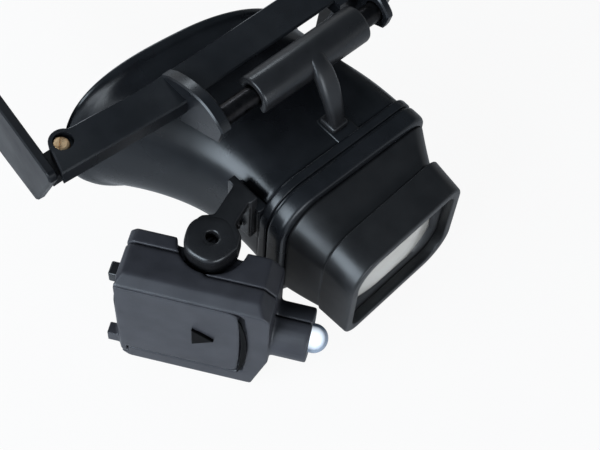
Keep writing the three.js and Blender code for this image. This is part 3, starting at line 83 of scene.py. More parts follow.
# %% Camera
def added(name, data):
    """A new object in the scene."""
    made = bpy.data.objects.new(name, data)
    bpy.context.scene.collection.objects.link(made)
    return made


CAMERA_PLACE = (-129.9, 110.5, 181.0)
FOCAL_LENGTH, SENSOR_WIDTH = 77.0, 36.0
camera_data = bpy.data.cameras.new("photo_camera")
camera_data.lens = FOCAL_LENGTH
camera_data.sensor_width = SENSOR_WIDTH
camera_data.clip_start, camera_data.clip_end = 0.01, 10.0
camera = added("photo_camera", camera_data)
camera_right = Vector((0.739, -0.672, 0.054)).normalized()
camera_up = Vector((0.560, 0.656, 0.506)).normalized()
camera_back = camera_right.cross(camera_up).normalized()
camera_up = camera_back.cross(camera_right)
camera_turn = Matrix((camera_right, camera_up, camera_back)).transposed().to_4x4()
camera.matrix_world = Matrix.Translation(at(*CAMERA_PLACE)) @ camera_turn
bpy.context.scene.camera = camera
print("camera at", [round(v, 4) for v in camera.location])

# %% [markdown]
# ## Floor, world and lamps
# The studio is a pale floor under a white world. Camera rays see nearly plain white wherever the
# floor isn't shaded, while the object itself is lit by soft boxes at a plain level. The helpers come
# first: they make nodes, do sums with node values and start a material.

# %% Node and look helpers
def node(tree, kind, inputs=None, **settings):
    """A new node with its settings; an input takes a plain value or the output of another node."""
    made = tree.nodes.new(kind)
    for name, value in settings.items():
        setattr(made, name, value)
    for name, value in (inputs or {}).items():
        if isinstance(value, bpy.types.NodeSocket):
            tree.links.new(value, made.inputs[name])
        else:
            made.inputs[name].default_value = value
    return made


def maths(tree, operation, first, second=0.0):
    """The result of one sum of two values."""
    return node(tree, "ShaderNodeMath", {0: first, 1: second}, operation=operation).outputs[0]


def ranged(tree, value, low, high, start=0.35, end=0.65):
    """Maps a value between start and end to low and high."""
    inputs = {"Value": value, "From Min": start, "From Max": end, "To Min": low, "To Max": high}
    return node(tree, "ShaderNodeMapRange", inputs).outputs["Result"]


def new_look(name, colour, roughness, metallic=0.0):
    """A node material with its plain values on the shader itself."""
    look = bpy.data.materials.new(name)
    look.use_nodes = True
    shader = look.node_tree.nodes["Principled BSDF"]
    shader.inputs["Base Color"].default_value = (*colour, 1)
    shader.inputs["Roughness"].default_value = roughness
    shader.inputs["Metallic"].default_value = metallic
    return look, look.node_tree, shader


# %% World
scene = bpy.context.scene
scene.view_settings.view_transform = "Standard"
world = bpy.data.worlds.new("studio")
scene.world = world
world.use_nodes = True
world_tree = world.node_tree


def white_for_the_camera(tree, plain, output, share=1.0, gloss_share=0.5):
    """Mixes a shader with plain white for camera rays and, by a share, for what gloss shows of it."""
    rays = node(tree, "ShaderNodeLightPath").outputs
    seen = maths(tree, "MULTIPLY", rays["Is Camera Ray"], share)
    for ray, part in (("Is Glossy Ray", gloss_share), ("Is Transmission Ray", share)):
        seen = maths(tree, "MAXIMUM", seen, maths(tree, "MULTIPLY", rays[ray], part))
    kind = "ShaderNodeBackground" if tree == world_tree else "ShaderNodeEmission"
    white = node(tree, kind, {"Color": (1, 1, 1, 1), "Strength": 1.0})
    mix = node(tree, "ShaderNodeMixShader", {"Fac": seen, 1: plain, 2: white.outputs[0]})
    tree.links.new(mix.outputs[0], output)


SKY_COLOUR, SKY_STRENGTH = (0.86, 0.93, 1.0, 1), 0.15
sky = world_tree.nodes["Background"]
sky.inputs["Color"].default_value = SKY_COLOUR
sky.inputs["Strength"].default_value = SKY_STRENGTH
whole_world = world_tree.nodes["World Output"].inputs["Surface"]
white_for_the_camera(world_tree, sky.outputs[0], whole_world)
print("world:", world.name)

# %% [markdown]
# ### A dark ceiling
# Over the white walls hangs a dark ceiling, for gloss alone: black plastic shows it in its tops.

# %% Ceiling
CEILING_COLOUR, CEILING_STRENGTH = (0.8, 0.9, 1.0, 1), 0.16
CEILING_BEGINS, CEILING_WHOLE = 0.18, 0.5
direction = node(world_tree, "ShaderNodeTexCoord").outputs["Generated"]
height = node(world_tree, "ShaderNodeSeparateXYZ", {0: direction}).outputs["Z"]
covered = ranged(world_tree, height, 0.0, 1.0, CEILING_BEGINS, CEILING_WHOLE)
glossy = node(world_tree, "ShaderNodeLightPath").outputs["Is Glossy Ray"]
dim = maths(world_tree, "MULTIPLY", covered, glossy)
ceiling = node(world_tree, "ShaderNodeBackground", {"Color": CEILING_COLOUR, "Strength": CEILING_STRENGTH})
walls = whole_world.links[0].from_socket
with_ceiling = node(world_tree, "ShaderNodeMixShader", {"Fac": dim, 1: walls, 2: ceiling.outputs[0]})
world_tree.links.new(with_ceiling.outputs[0], whole_world)
print("world nodes:", len(world_tree.nodes))

# %% Floor
FLOOR_HALF, FLOOR_DROP = 1.5, 0.0002  # metres
FLOOR_COLOUR, FLOOR_ROUGHNESS, FLOOR_WHITE, FLOOR_GLOSS = (0.56, 0.60, 0.66), 0.9, 0.93, 0.20
corners = [(x * FLOOR_HALF, y * FLOOR_HALF, -FLOOR_DROP) for x, y in ((-1, -1), (1, -1), (1, 1), (-1, 1))]
floor_mesh = bpy.data.meshes.new("floor")
floor_mesh.from_pydata(corners, [], [(0, 1, 2, 3)])
floor = added("floor", floor_mesh)
floor_look, tree, shader = new_look("pale_floor", FLOOR_COLOUR, FLOOR_ROUGHNESS)
floor_end = tree.nodes["Material Output"].inputs["Surface"]
white_for_the_camera(tree, shader.outputs[0], floor_end, FLOOR_WHITE, FLOOR_GLOSS)
floor_mesh.materials.append(floor_look)
print("floor side, in metres:", 2 * FLOOR_HALF)


# %% Lamps
def soft_box(name, place, target, width, height, power, colour):
    """A rectangular area lamp that faces a target."""
    data = bpy.data.lights.new(name, "AREA")
    data.shape, data.size, data.size_y = "RECTANGLE", width, height
    data.energy, data.color = power, colour
    lamp = added(name, data)
    lamp.location = place
    lamp.rotation_euler = (Vector(target) - Vector(place)).to_track_quat("-Z", "Y").to_euler()


# Each box has its place from the loupe's middle, width, height, all in metres, power and colour.
loupe_middle = at(-35, 20, -20)
soft_boxes = {
    "left_box": ((-0.62, 0.05, 0.30), 0.56, 0.5, 6.6, (0.90, 0.96, 1.0)),
    "front_box": ((-0.15, -0.68, 0.14), 0.5, 0.3, 2.2, (1.0, 1.0, 1.0)),
    "back_box": ((0.1, 0.60, 0.42), 0.5, 0.12, 1.2, (0.95, 0.98, 1.0)),
}
for name, (place, *settings) in soft_boxes.items():
    soft_box(name, loupe_middle + Vector(place), loupe_middle, *settings)

# %% [markdown]
# ## Moulded plastic
# Injection moulded parts carry the fine spark texture of their mould, a soft change of gloss and
# faint paler patches from handling. One helper builds all of the black plastics from these three,
# with its own colour, gloss and grain for each family of pieces. The temples and the marks on the
# lamp are duller, so their shine is turned down.

# %% Shader helpers
def object_noise(tree, scale, detail=2.0, stretch=(1, 1, 1)):
    """Noise that stays with the piece, through Object coordinates."""
    place = node(tree, "ShaderNodeTexCoord").outputs["Object"]
    mapped = node(tree, "ShaderNodeMapping", {"Vector": place, "Scale": stretch}).outputs["Vector"]
    inputs = {"Vector": mapped, "Scale": scale, "Detail": detail}
    return node(tree, "ShaderNodeTexNoise", inputs).outputs["Fac"]


def two_colours(tree, value, first, second):
    """Mixes two colours by a value from 0 to 1."""
    inputs = {"Factor": value, "A": (*first, 1), "B": (*second, 1)}
    return node(tree, "ShaderNodeMix", inputs, data_type="RGBA").outputs["Result"]


def grain(tree, shader, height, depth, strength):
    """Gives the shader a bump from a height value."""
    bump = node(tree, "ShaderNodeBump", {"Height": height, "Distance": depth, "Strength": strength})
    tree.links.new(bump.outputs["Normal"], shader.inputs["Normal"])


# %% Black plastics
COOL_SHINE = (0.84, 0.92, 1.0, 1)
GLOSS_SCALE, HANDLED_SCALE, HANDLED_GAIN, GRAIN_STRENGTH = 90, 260, 1.35, 0.6


def moulded_plastic(name, colour, roughness, spread, grain_size, grain_depth, shine=0.5):
    """Black plastic with a spark-textured skin, uneven gloss and faint paler patches from handling."""
    look, tree, shader = new_look(name, colour, roughness)
    shader.inputs["Specular Tint"].default_value = COOL_SHINE
    shader.inputs["Specular IOR Level"].default_value = shine
    gloss = ranged(tree, object_noise(tree, GLOSS_SCALE, 3), roughness - spread, roughness + spread)
    tree.links.new(gloss, shader.inputs["Roughness"])
    handled = ranged(tree, object_noise(tree, HANDLED_SCALE, 4), 0.0, 1.0)
    paler = tuple(HANDLED_GAIN * c + 0.001 for c in colour)
    tree.links.new(two_colours(tree, handled, colour, paler), shader.inputs["Base Color"])
    grain(tree, shader, object_noise(tree, 1 / (grain_size * mm), 2), grain_depth * mm, GRAIN_STRENGTH)
    return look


# Each finish has its colour, roughness, spread of the roughness, grain size and grain depth.
plastics = {
    "frame_plastic": ((0.006, 0.007, 0.009), 0.26, 0.05, 0.30, 0.010),
    "housing_plastic": ((0.006, 0.007, 0.009), 0.28, 0.05, 0.28, 0.016),
    "clip_plastic": ((0.010, 0.0105, 0.012), 0.30, 0.06, 0.30, 0.010),
    "lens_mount_plastic": ((0.0085, 0.0088, 0.0098), 0.38, 0.07, 0.28, 0.014),
    "lamp_plastic": ((0.022, 0.023, 0.029), 0.40, 0.05, 0.26, 0.014),
}
looks = {name: moulded_plastic(name, *values) for name, values in plastics.items()}
temple_look = moulded_plastic("temple_plastic", (0.003, 0.0036, 0.005), 0.42, 0.06, 0.30, 0.012, shine=0.22)
print("plastics:", ", ".join(looks))

# %% [markdown]
# ## Rubber, metals, glass and the diode
# The nose pads are soft and dull. The screws are turned metal with fine scratches. The lenses are
# rendered pale and a little milky, because in the photo they show as a light grey leaf. The diode's
# dome glows in its middle and stays clear resin at its rim.

# %% Rubber
rubber, tree, shader = new_look("pad_rubber", (0.02, 0.02, 0.021), 0.8)
tree.links.new(ranged(tree, object_noise(tree, 140, 3), 0.72, 0.88), shader.inputs["Roughness"])
grain(tree, shader, object_noise(tree, 3000, 2), 0.02 * mm, 0.7)
looks["pad_rubber"] = rubber


# %% Metals
TARNISH_SCALE, POLISH_SCALE, SCRATCH_STRETCH, SCRATCH_DEPTH = 500, 900, (1, 1, 0.15), 0.006


def turned_metal(name, colour, tarnish, roughness, scratch_size):
    """Metal with fine scratches and a little tarnish."""
    look, tree, shader = new_look(name, colour, roughness, metallic=1.0)
    patches = ranged(tree, object_noise(tree, TARNISH_SCALE, 4), 0.0, 1.0)
    tree.links.new(two_colours(tree, patches, colour, tarnish), shader.inputs["Base Color"])
    polish = ranged(tree, object_noise(tree, POLISH_SCALE, 3), roughness - 0.08, roughness + 0.1)
    tree.links.new(polish, shader.inputs["Roughness"])
    scratches = object_noise(tree, 1 / (scratch_size * mm), 2, stretch=SCRATCH_STRETCH)
    grain(tree, shader, scratches, SCRATCH_DEPTH * mm, 0.5)
    return look


# Each finish has its colour, the colour of its tarnish, roughness and scratch size.
metals = {
    "brass": ((0.95, 0.69, 0.42), (0.66, 0.43, 0.23), 0.32, 0.12),
    "screw_steel": ((0.56, 0.57, 0.58), (0.42, 0.42, 0.43), 0.28, 0.12),
    "dark_steel": ((0.035, 0.036, 0.040), (0.02, 0.02, 0.022), 0.32, 0.15),
    "contact_nickel": ((0.62, 0.60, 0.56), (0.5, 0.48, 0.44), 0.25, 0.14),
}
looks.update({name: turned_metal(name, *values) for name, values in metals.items()})
print("metals:", ", ".join(metals))

# %% Board
BOARD_DARK, BOARD_PALE = (0.02, 0.09, 0.045), (0.04, 0.15, 0.075)
board_look, tree, shader = new_look("board_laminate", (0.03, 0.12, 0.06), 0.5)
weave = ranged(tree, object_noise(tree, 1500, 2), 0, 1)
tree.links.new(two_colours(tree, weave, BOARD_DARK, BOARD_PALE), shader.inputs["Base Color"])
looks["board_laminate"] = board_look

# %% Glass
GLASS_COLOUR, GLASS_CLEARNESS, GLASS_ROUGHNESS, GLASS_INDEX = (0.80, 0.79, 0.75), 0.22, 0.14, 1.5
glass_look, tree, shader = new_look("lens_glass", GLASS_COLOUR, GLASS_ROUGHNESS)
shader.inputs["Transmission Weight"].default_value = GLASS_CLEARNESS
shader.inputs["IOR"].default_value = GLASS_INDEX
haze = ranged(tree, object_noise(tree, 60, 3), 0.5 * GLASS_ROUGHNESS, 1.5 * GLASS_ROUGHNESS)
tree.links.new(haze, shader.inputs["Roughness"])
looks["lens_glass"] = glass_look

# %% Diode
DIODE_GLOW, GLOW_ENDS = 1.3, 0.32
diode_look, tree, shader = new_look("diode_resin", (0.30, 0.38, 0.50), 0.10)
tree.links.new(ranged(tree, object_noise(tree, 400, 2), 0.07, 0.14), shader.inputs["Roughness"])
shader.inputs["Emission Color"].default_value = (0.84, 0.92, 1.0, 1)
facing = node(tree, "ShaderNodeLayerWeight", {"Blend": 0.35}).outputs["Facing"]
tree.links.new(ranged(tree, facing, DIODE_GLOW, 0.0, 0.0, GLOW_ENDS), shader.inputs["Emission Strength"])
looks["diode_resin"] = diode_look
print("finishes:", len(looks))

# %% [markdown]
# ## Dressing the solids
# The solids carry the record's finishes, so each one first gets the material of its slot. The
# pieces that follow then replace the ones whose shapes deserve more than the plain solid.

# %% Give every solid its finish
slot_of = {entry["node"]: entry["material_slot"] for entry in frame["record"]["subparts"]}
body_of = {node: body for body, nodes in frame["record"]["behaviour"]["bodies"].items() for node in nodes}
for name, solid in frame["nodes"].items():
    solid.data.materials.clear()
    solid.data.materials.append(looks[slot_of[name]])
print("solids dressed:", len(frame["nodes"]))

# %% [markdown]
# ## Softened edges
# A moulded piece has no sharp edge: the mould is cut with a small radius everywhere. The flat-sided
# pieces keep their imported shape. Each is copied, its loose triangles are merged into flat faces, and
# a bevel rounds what is left. Weighted normals then keep the broad faces flat to the eye.

# %% Rounded copies
def dressed(piece, node, extra=()):
    """Puts a finished piece in its solid's place, with that solid's finish and body, and prints it."""
    piece.data.materials.clear()
    piece.data.materials.append(looks[slot_of[node]])
    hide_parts(node, *extra)
    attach(piece, body_of[node])
    print(piece.name, "faces:", len(piece.data.polygons))
    return piece


MERGE_DISTANCE, FLAT_ANGLE = 0.002, math.radians(1.0)


def merged_copy(solid, name):
    """A copy of a solid with its triangles merged into flat faces."""
    mesh = frame["nodes"][solid].data.copy()
    piece = added(name, mesh)
    work = bmesh.new()
    work.from_mesh(mesh)
    bmesh.ops.remove_doubles(work, verts=work.verts, dist=MERGE_DISTANCE * mm)
    bmesh.ops.dissolve_limit(work, angle_limit=FLAT_ANGLE, verts=work.verts, edges=work.edges)
    bmesh.ops.dissolve_degenerate(work, dist=MERGE_DISTANCE * mm, edges=work.edges)
    work.to_mesh(mesh)
    work.free()
    return piece


def shaded(piece, smooth=True):
    """Shades all faces of a piece smooth or flat."""
    for face in piece.data.polygons:
        face.use_smooth = smooth


BEVEL_SEGMENTS, BEVEL_ANGLE, FLAT_WEIGHT = 4, math.radians(24), 90


def rounded(solid, width):
    """Replaces a solid by its copy with rounded edges."""
    piece = merged_copy(solid, solid + "_rounded")
    bevel = piece.modifiers.new("edges", "BEVEL")
    bevel.width, bevel.segments, bevel.limit_method = width * mm, BEVEL_SEGMENTS, "ANGLE"
    bevel.angle_limit = BEVEL_ANGLE
    flat = piece.modifiers.new("flat_faces", "WEIGHTED_NORMAL")
    flat.weight = FLAT_WEIGHT
    shaded(piece)
    return dressed(piece, solid)


rounding = {
    "brow_bar": 0.28, "nose_bridge": 0.5, "temple_left": 0.35, "temple_right": 0.35, "slide_rod": 0.2,
    "switch_knob": 0.5,
}
for solid, width in rounding.items():
    piece = rounded(solid, width)
    if solid.startswith("temple"):
        piece.data.materials[0] = temple_look
print("rounded:", len(rounding))

# %% [markdown]
# ## Skins over rings
# The loupe's own housing is all soft, swept shapes: the collar, the tapered tube and the flared
# eyecup. Each is made as a real mould maker would describe it, by sections. A ring of points is
# one section, and a skin joins the rings in order. The first and last ring of a wall are joined as
# well, so an open housing becomes one closed wall with an inside and an outside.

# %% Rings and skins
CORNER_STEPS = 14


def frame_ring(size, radii, centre, forward, inset=0.0):
    """A rounded rectangle as (x, forward, up), less an inset; the radii start at the nose's top."""
    width, height = (side - 2 * inset for side in size)
    points = []
    for quarter, (side, level) in enumerate([(1, 1), (-1, 1), (-1, -1), (1, -1)]):
        radius = radii[quarter]
        for step in range(CORNER_STEPS + 1):
            angle = math.pi / 2 * (quarter + step / CORNER_STEPS)
            points.append((centre[0] + side * (width / 2 - radius) + radius * math.cos(angle), forward,
                           centre[1] + level * (height / 2 - radius) + radius * math.sin(angle)))
    return points


def turns(count):
    """Evenly spaced angles all the way round."""
    return [2 * math.pi * i / count for i in range(count)]


def eased(profile, steps=4):
    """Rounds the corners of a closed profile of (inset, forward, ease)."""
    places = []
    for i, (inset, forward, ease) in enumerate(profile):
        here = Vector((inset, forward))
        before = Vector(profile[i - 1][:2]) - here
        after = Vector(profile[(i + 1) % len(profile)][:2]) - here
        start = here + before.normalized() * min(ease, 0.45 * before.length)
        end = here + after.normalized() * min(ease, 0.45 * after.length)
        for step in range(steps + 1):
            t = step / steps
            places.append(start * (1 - t) ** 2 + here * (2 * t * (1 - t)) + end * t ** 2)
    return places


SKIN_MERGE = 0.0005


def skinned(name, rings, wall=True):
    """A smooth skin over rings of (x, forward, up); a wall joins its last ring to its first."""
    count = len(rings[0])
    mesh = bpy.data.meshes.new(name)
    faces = []
    for r in range(len(rings) if wall else len(rings) - 1):
        near, far = r * count, (r + 1) % len(rings) * count
        faces += [(near + i, near + (i + 1) % count, far + (i + 1) % count, far + i) for i in range(count)]
    if not wall:
        faces += [tuple(range(count)), tuple(range((len(rings) - 1) * count, len(rings) * count))]
    mesh.from_pydata([at(*point) for ring in rings for point in ring], [], faces)
    work = bmesh.new()
    work.from_mesh(mesh)
    bmesh.ops.remove_doubles(work, verts=work.verts, dist=SKIN_MERGE * mm)
    bmesh.ops.dissolve_degenerate(work, dist=SKIN_MERGE * mm, edges=work.edges)
    bmesh.ops.recalc_face_normals(work, faces=work.faces)
    work.to_mesh(mesh)
    work.free()
    piece = added(name, mesh)
    shaded(piece)
    return piece


# %% [markdown]
# ## Bezel and lens tube
# The bezel is a deep frame that snaps over the lens tube and holds both lenses. Its corners at the
# temple's top and the nose's foot are the widest. It is toed in by a few degrees with the lenses.
# The tube behind it tapers from the collar to the bezel and carries the lenses on its nose.

# %% Bezel
LENS_X, LENS_UP, BEZEL_FRONT, BEZEL_DEPTH = -29.7, -27.65, 45.7, 7.2
BEZEL_WIDTH, BEZEL_HEIGHT, BEZEL_SWELL = 29.4, 23.2, 0.9
BEZEL_CORNERS, CORNER_SHRINK, LEAST_CORNER = (3.9, 6.4, 3.8, 6.6), 0.8, 1.3
BEZEL_RIM, BEZEL_WALL, RIM_DEPTH = 2.0, 0.9, 2.0
BEZEL_REAR = BEZEL_FRONT - BEZEL_DEPTH
TOE = math.radians(3.2)


def turned_in(ring):
    """Turns a ring in to the toe of the lenses."""
    turned = []
    for x, forward, up in ring:
        side, ahead = x - LENS_X, forward - BEZEL_FRONT
        turned.append((LENS_X + side * math.cos(TOE) + ahead * math.sin(TOE),
                       BEZEL_FRONT + ahead * math.cos(TOE) - side * math.sin(TOE), up))
    return turned


def bezel_ring(inset, forward):
    """The bezel's section: it swells a little towards its rear, up and to the nose."""
    swell = BEZEL_SWELL * (BEZEL_FRONT - forward) / BEZEL_DEPTH
    size, centre = (BEZEL_WIDTH + swell, BEZEL_HEIGHT + swell), (LENS_X + swell / 2, LENS_UP + swell / 2)
    radii = [max(LEAST_CORNER, radius - CORNER_SHRINK * inset) for radius in BEZEL_CORNERS]
    return turned_in(frame_ring(size, radii, centre, forward, inset))


LENS_SEAT_FORWARD = BEZEL_FRONT - RIM_DEPTH
bezel_profile = [(0, BEZEL_REAR, 0.35), (0, BEZEL_FRONT, 0.55), (BEZEL_RIM, BEZEL_FRONT, 0.35),
                 (BEZEL_RIM, LENS_SEAT_FORWARD, 0.1), (BEZEL_WALL, LENS_SEAT_FORWARD, 0.1),
                 (BEZEL_WALL, BEZEL_REAR, 0.1)]
bezel = skinned("bezel_frame", [bezel_ring(*place) for place in eased(bezel_profile)])
dressed(bezel, "bezel")

# %% [markdown]
# ## Front lens and its seat
# The magnifying glass itself is ground to an oval and sits deep in the frame. A black seat runs in
# from the opening to the oval, so that from the side the glass shows as a leaf: its near edge is cut
# off by the frame and its far edge is the arc of the oval. The front of the glass is domed.

# %% Front lens
GLASS_HALF_WIDTH, GLASS_HALF_HEIGHT, GLASS_POWER, GLASS_EDGE = 12.9, 9.9, 2.0, 42.5
GLASS_BACK, GLASS_BULGE, GLASS_STEPS = 41.5, 2.2, 14


def raised(value, power):
    """A number to a power, with its sign kept."""
    return math.copysign(abs(value) ** power, value)


def oval_ring(share, forward):
    """The glass's outline at a share of its size, with its points in the directions of the frame's."""
    ring = []
    for x, _, up in bezel_ring(BEZEL_RIM, forward):
        angle = math.atan2((up - LENS_UP) / GLASS_HALF_HEIGHT, (x - LENS_X) / GLASS_HALF_WIDTH)
        side, level = raised(math.cos(angle), 2 / GLASS_POWER), raised(math.sin(angle), 2 / GLASS_POWER)
        ring.append((LENS_X + share * GLASS_HALF_WIDTH * side, forward,
                     LENS_UP + share * GLASS_HALF_HEIGHT * level))
    return turned_in(ring)


seat_rings = [bezel_ring(1.8, 43.75), bezel_ring(2.2, 43.55), oval_ring(1.01, 42.8), oval_ring(1.0, 42.6),
              oval_ring(1.0, 41.6), bezel_ring(1.8, 41.6)]
seat = skinned("lens_seat", seat_rings)
seat.data.materials.append(looks["lens_mount_plastic"])
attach(seat, body_of["bezel"])
glass_sections = [oval_ring(share, GLASS_BACK) for share in (0.02, 0.5, 0.97)]
glass_sections += [oval_ring(1.0, GLASS_BACK + 0.05), oval_ring(1.0, GLASS_EDGE)]
for step in range(1, GLASS_STEPS):
    share = math.cos(math.pi / 2 * step / GLASS_STEPS)
    glass_sections.append(oval_ring(max(0.02, share), GLASS_EDGE + GLASS_BULGE * (1 - share ** 2)))
glass = skinned("front_glass", glass_sections, wall=False)
dressed(glass, "front_lens")

# %% Lens tube
RING_FRONT, RING_CENTRE, LENS_CENTRE = 31.0, (-29.6, -26.75), (LENS_X, LENS_UP)
TUBE_STEPS, TUBE_SHIFT, TUBE_BACK, TUBE_FRONT = 12, 0.6, (34.4, 26.6), (28.8, 22.4)
TUBE_BACK_CENTRE = (LENS_X + TUBE_SHIFT, LENS_UP + TUBE_SHIFT)
TUBE_BACK_CORNERS, TUBE_FRONT_CORNERS = (3.6, 7.6, 4.2, 6.6), (3.5, 6.2, 3.5, 6.2)
NOSE_SIZE, NOSE_CORNER, NOSE_FRONT = (27.3, 21.1), 2.5, 40.1
SPIGOT_SIZE, SPIGOT_CORNER, SPIGOT_REAR, TUBE_WALL = (24.2, 19.0), 4.3, 23.0, 1.6


def tube_ring(share, inset=0.0):
    """The tube's section at a share of its way from the collar to the bezel."""
    forward = RING_FRONT + (BEZEL_REAR - RING_FRONT) * share
    back = frame_ring(TUBE_BACK, TUBE_BACK_CORNERS, TUBE_BACK_CENTRE, forward, inset)
    front = turned_in(frame_ring(TUBE_FRONT, TUBE_FRONT_CORNERS, LENS_CENTRE, forward, inset))
    return [tuple(b + (f - b) * share for b, f in zip(*pair)) for pair in zip(back, front)]


def nose_ring(inset, forward):
    """The tube's nose, which the lenses rest on inside the bezel."""
    return turned_in(frame_ring(NOSE_SIZE, [NOSE_CORNER] * 4, LENS_CENTRE, forward, inset))


def spigot_ring(inset, forward):
    """The tube's rear end, which slides in the collar."""
    return frame_ring(SPIGOT_SIZE, [SPIGOT_CORNER] * 4, RING_CENTRE, forward, inset)


shares = [0.02] + [step / TUBE_STEPS for step in range(1, TUBE_STEPS)] + [0.985]
tube_rings = [spigot_ring(0, SPIGOT_REAR), spigot_ring(0, RING_FRONT), tube_ring(0, 0.3)]
tube_rings += [tube_ring(share) for share in shares]
tube_rings += [tube_ring(1, 0.15), nose_ring(0, BEZEL_REAR), nose_ring(0, NOSE_FRONT)]
tube_rings += [nose_ring(TUBE_WALL, NOSE_FRONT), nose_ring(TUBE_WALL, BEZEL_REAR)]
tube_rings += [spigot_ring(TUBE_WALL, RING_FRONT), spigot_ring(TUBE_WALL, SPIGOT_REAR)]
tube = skinned("lens_tube_wall", tube_rings)
dressed(tube, "lens_tube")

# %% [markdown]
# ## Collar
# The collar closes the eyecup in front. It has two steps with a fine groove between them and a
# rounded shoulder, and the tube slides in its opening.

# %% Collar
COLLAR_SIZE, OPENING_SIZE, PLUG_SIZE = (36.4, 29.5), (25.6, 20.4), (31.3, 24.4)
COLLAR_CORNERS, INNER_CORNER, COLLAR_REAR, COLLAR_END = (3.7, 8.2, 5.0, 7.0), 5, 25.0, 22.8


def collar_ring(inset, forward):
    """The collar's section, all round less an inset."""
    radii = [radius - CORNER_SHRINK * inset for radius in COLLAR_CORNERS]
    return frame_ring(COLLAR_SIZE, radii, RING_CENTRE, forward, inset)


collar_steps = [(0.15, COLLAR_REAR, 0.25), (0, 25.4, 0.2), (0, 26.9, 0.3), (0.6, 27.0, 0.1),
                (0.6, 27.35, 0.1), (0, 27.5, 0.35), (0, RING_FRONT, 1.3), (2.4, RING_FRONT, 0.1)]
outer_rings = [collar_ring(*place) for place in eased(collar_steps)[3:-3]]
inner_places = [(OPENING_SIZE, RING_FRONT), (OPENING_SIZE, COLLAR_END), (PLUG_SIZE, COLLAR_END),
                (PLUG_SIZE, COLLAR_REAR)]
inner_rings = [frame_ring(size, [INNER_CORNER] * 4, RING_CENTRE, forward) for size, forward in inner_places]
collar = skinned("collar_wall", outer_rings + inner_rings)
dressed(collar, "housing_ring")

# %% [markdown]
# ## Eyecup
# The eyecup is a thin-walled horn: nearly square where the collar sits and a wide soft oval at the
# eye. Its wall follows a rule: each section is an oval, and its powers, one for each quarter from
# the nose's top, set how square it is. The wall flares slowly on the nose side and late towards the
# temple. A bead stiffens the rim.

# %% Eyecup
EYECUP_POINTS, EYECUP_STEPS, EYECUP_WALL = 144, 36, 1.5
RIM_FORWARD, RIM_NOSEWARD, RIM_DOWNWARD = -9.8, 6.4, 3.6
RIM_TEMPLE, RIM_NOSE, RIM_TOP, RIM_HEIGHT = -65.2, -14.0, -2.5, 37.0
CUP_TEMPLE, CUP_NOSE, CUP_TOP, CUP_FOOT, CUP_FULLNESS = -46.9, -12.0, -12.6, -40.6, 0.5
TEMPLE_FLARE, TOP_FLARE, FOOT_FLARE, SQUARE_FADE, WALL_END, STEP_POWER = 2.6, 2.2, 1.2, 1.6, 0.955, 0.85
RIM_POWERS, COLLAR_POWERS = (2.1, 2.75, 1.9, 2.1), (10.0, 4.2, 5.0, 5.0)


def eyecup_ring(share, inset=0.0, back=0.0):
    """A section of the eyecup at a share of its way from the collar to the rim."""
    def mix(start, end, power):
        """A value on its way from start to end."""
        return start + (end - start) * share ** power

    fullness = CUP_FULLNESS * math.sin(math.pi * min(1.0, share / 0.5))
    temple = mix(CUP_TEMPLE, RIM_TEMPLE, TEMPLE_FLARE) + inset
    nose = mix(CUP_NOSE, RIM_NOSE, 1) + fullness - inset
    top = mix(CUP_TOP, RIM_TOP, TOP_FLARE) - inset
    foot = mix(CUP_FOOT, RIM_TOP - RIM_HEIGHT, FOOT_FLARE) + inset
    fade = (1 - share) ** SQUARE_FADE
    forward = COLLAR_REAR + (RIM_FORWARD - COLLAR_REAR) * share - back
    points = []
    for i, angle in enumerate(turns(EYECUP_POINTS)):
        quarter = 4 * i // EYECUP_POINTS
        power = RIM_POWERS[quarter] + (COLLAR_POWERS[quarter] - RIM_POWERS[quarter]) * fade
        x = (temple + nose) / 2 + (nose - temple) / 2 * raised(math.cos(angle), 2 / power)
        up = (top + foot) / 2 + (top - foot) / 2 * raised(math.sin(angle), 2 / power)
        noseward = (x - RIM_TEMPLE) / (RIM_NOSE - RIM_TEMPLE)
        downward = (RIM_TOP - up) / RIM_HEIGHT
        points.append((x, forward + share * (RIM_NOSEWARD * noseward + RIM_DOWNWARD * downward), up))
    return points


outer_shares = [WALL_END * (i / EYECUP_STEPS) ** STEP_POWER for i in range(EYECUP_STEPS + 1)]
bead = [(0.965, -0.2, 0), (0.975, -0.45, 0), (0.99, -0.6, 0), (1.0, -0.5, 0.15), (1.0, -0.2, 0.45),
        (1.0, 0.4, 0.6), (1.0, 1.1, 0.5), (1.0, 1.45, 0.2)]
eyecup_rings = [eyecup_ring(share) for share in outer_shares] + [eyecup_ring(*place) for place in bead]
eyecup_rings += [eyecup_ring(share, EYECUP_WALL) for share in reversed(outer_shares)]
eyecup = skinned("eyecup_wall", eyecup_rings)
print("eyecup faces:", len(eyecup.data.polygons))


# %% Pad and boss of the eyecup
def soft_block(name, xs, forwards, ups, ease):
    """A block with all its edges rounded, given by its two places along each direction."""
    mesh = bpy.data.meshes.new(name)
    work = bmesh.new()
    bmesh.ops.create_cube(work, size=1)
    low, high = at(xs[0], forwards[1], ups[0]), at(xs[1], forwards[0], ups[1])
    for vertex in work.verts:
        vertex.co = Vector([low[i] + (high[i] - low[i]) * (vertex.co[i] + 0.5) for i in range(3)])
    bmesh.ops.bevel(work, geom=work.edges[:], offset=ease * mm, segments=4, profile=0.5, affect="EDGES")
    work.to_mesh(mesh)
    work.free()
    block = added(name, mesh)
    shaded(block)
    return block


def joined(first, *others):
    """Puts the meshes of several objects into the first one."""
    work = bmesh.new()
    for piece in (first, *others):
        work.from_mesh(piece.data)
    work.to_mesh(first.data)
    work.free()
    for piece in others:
        bpy.data.objects.remove(piece)
    return first


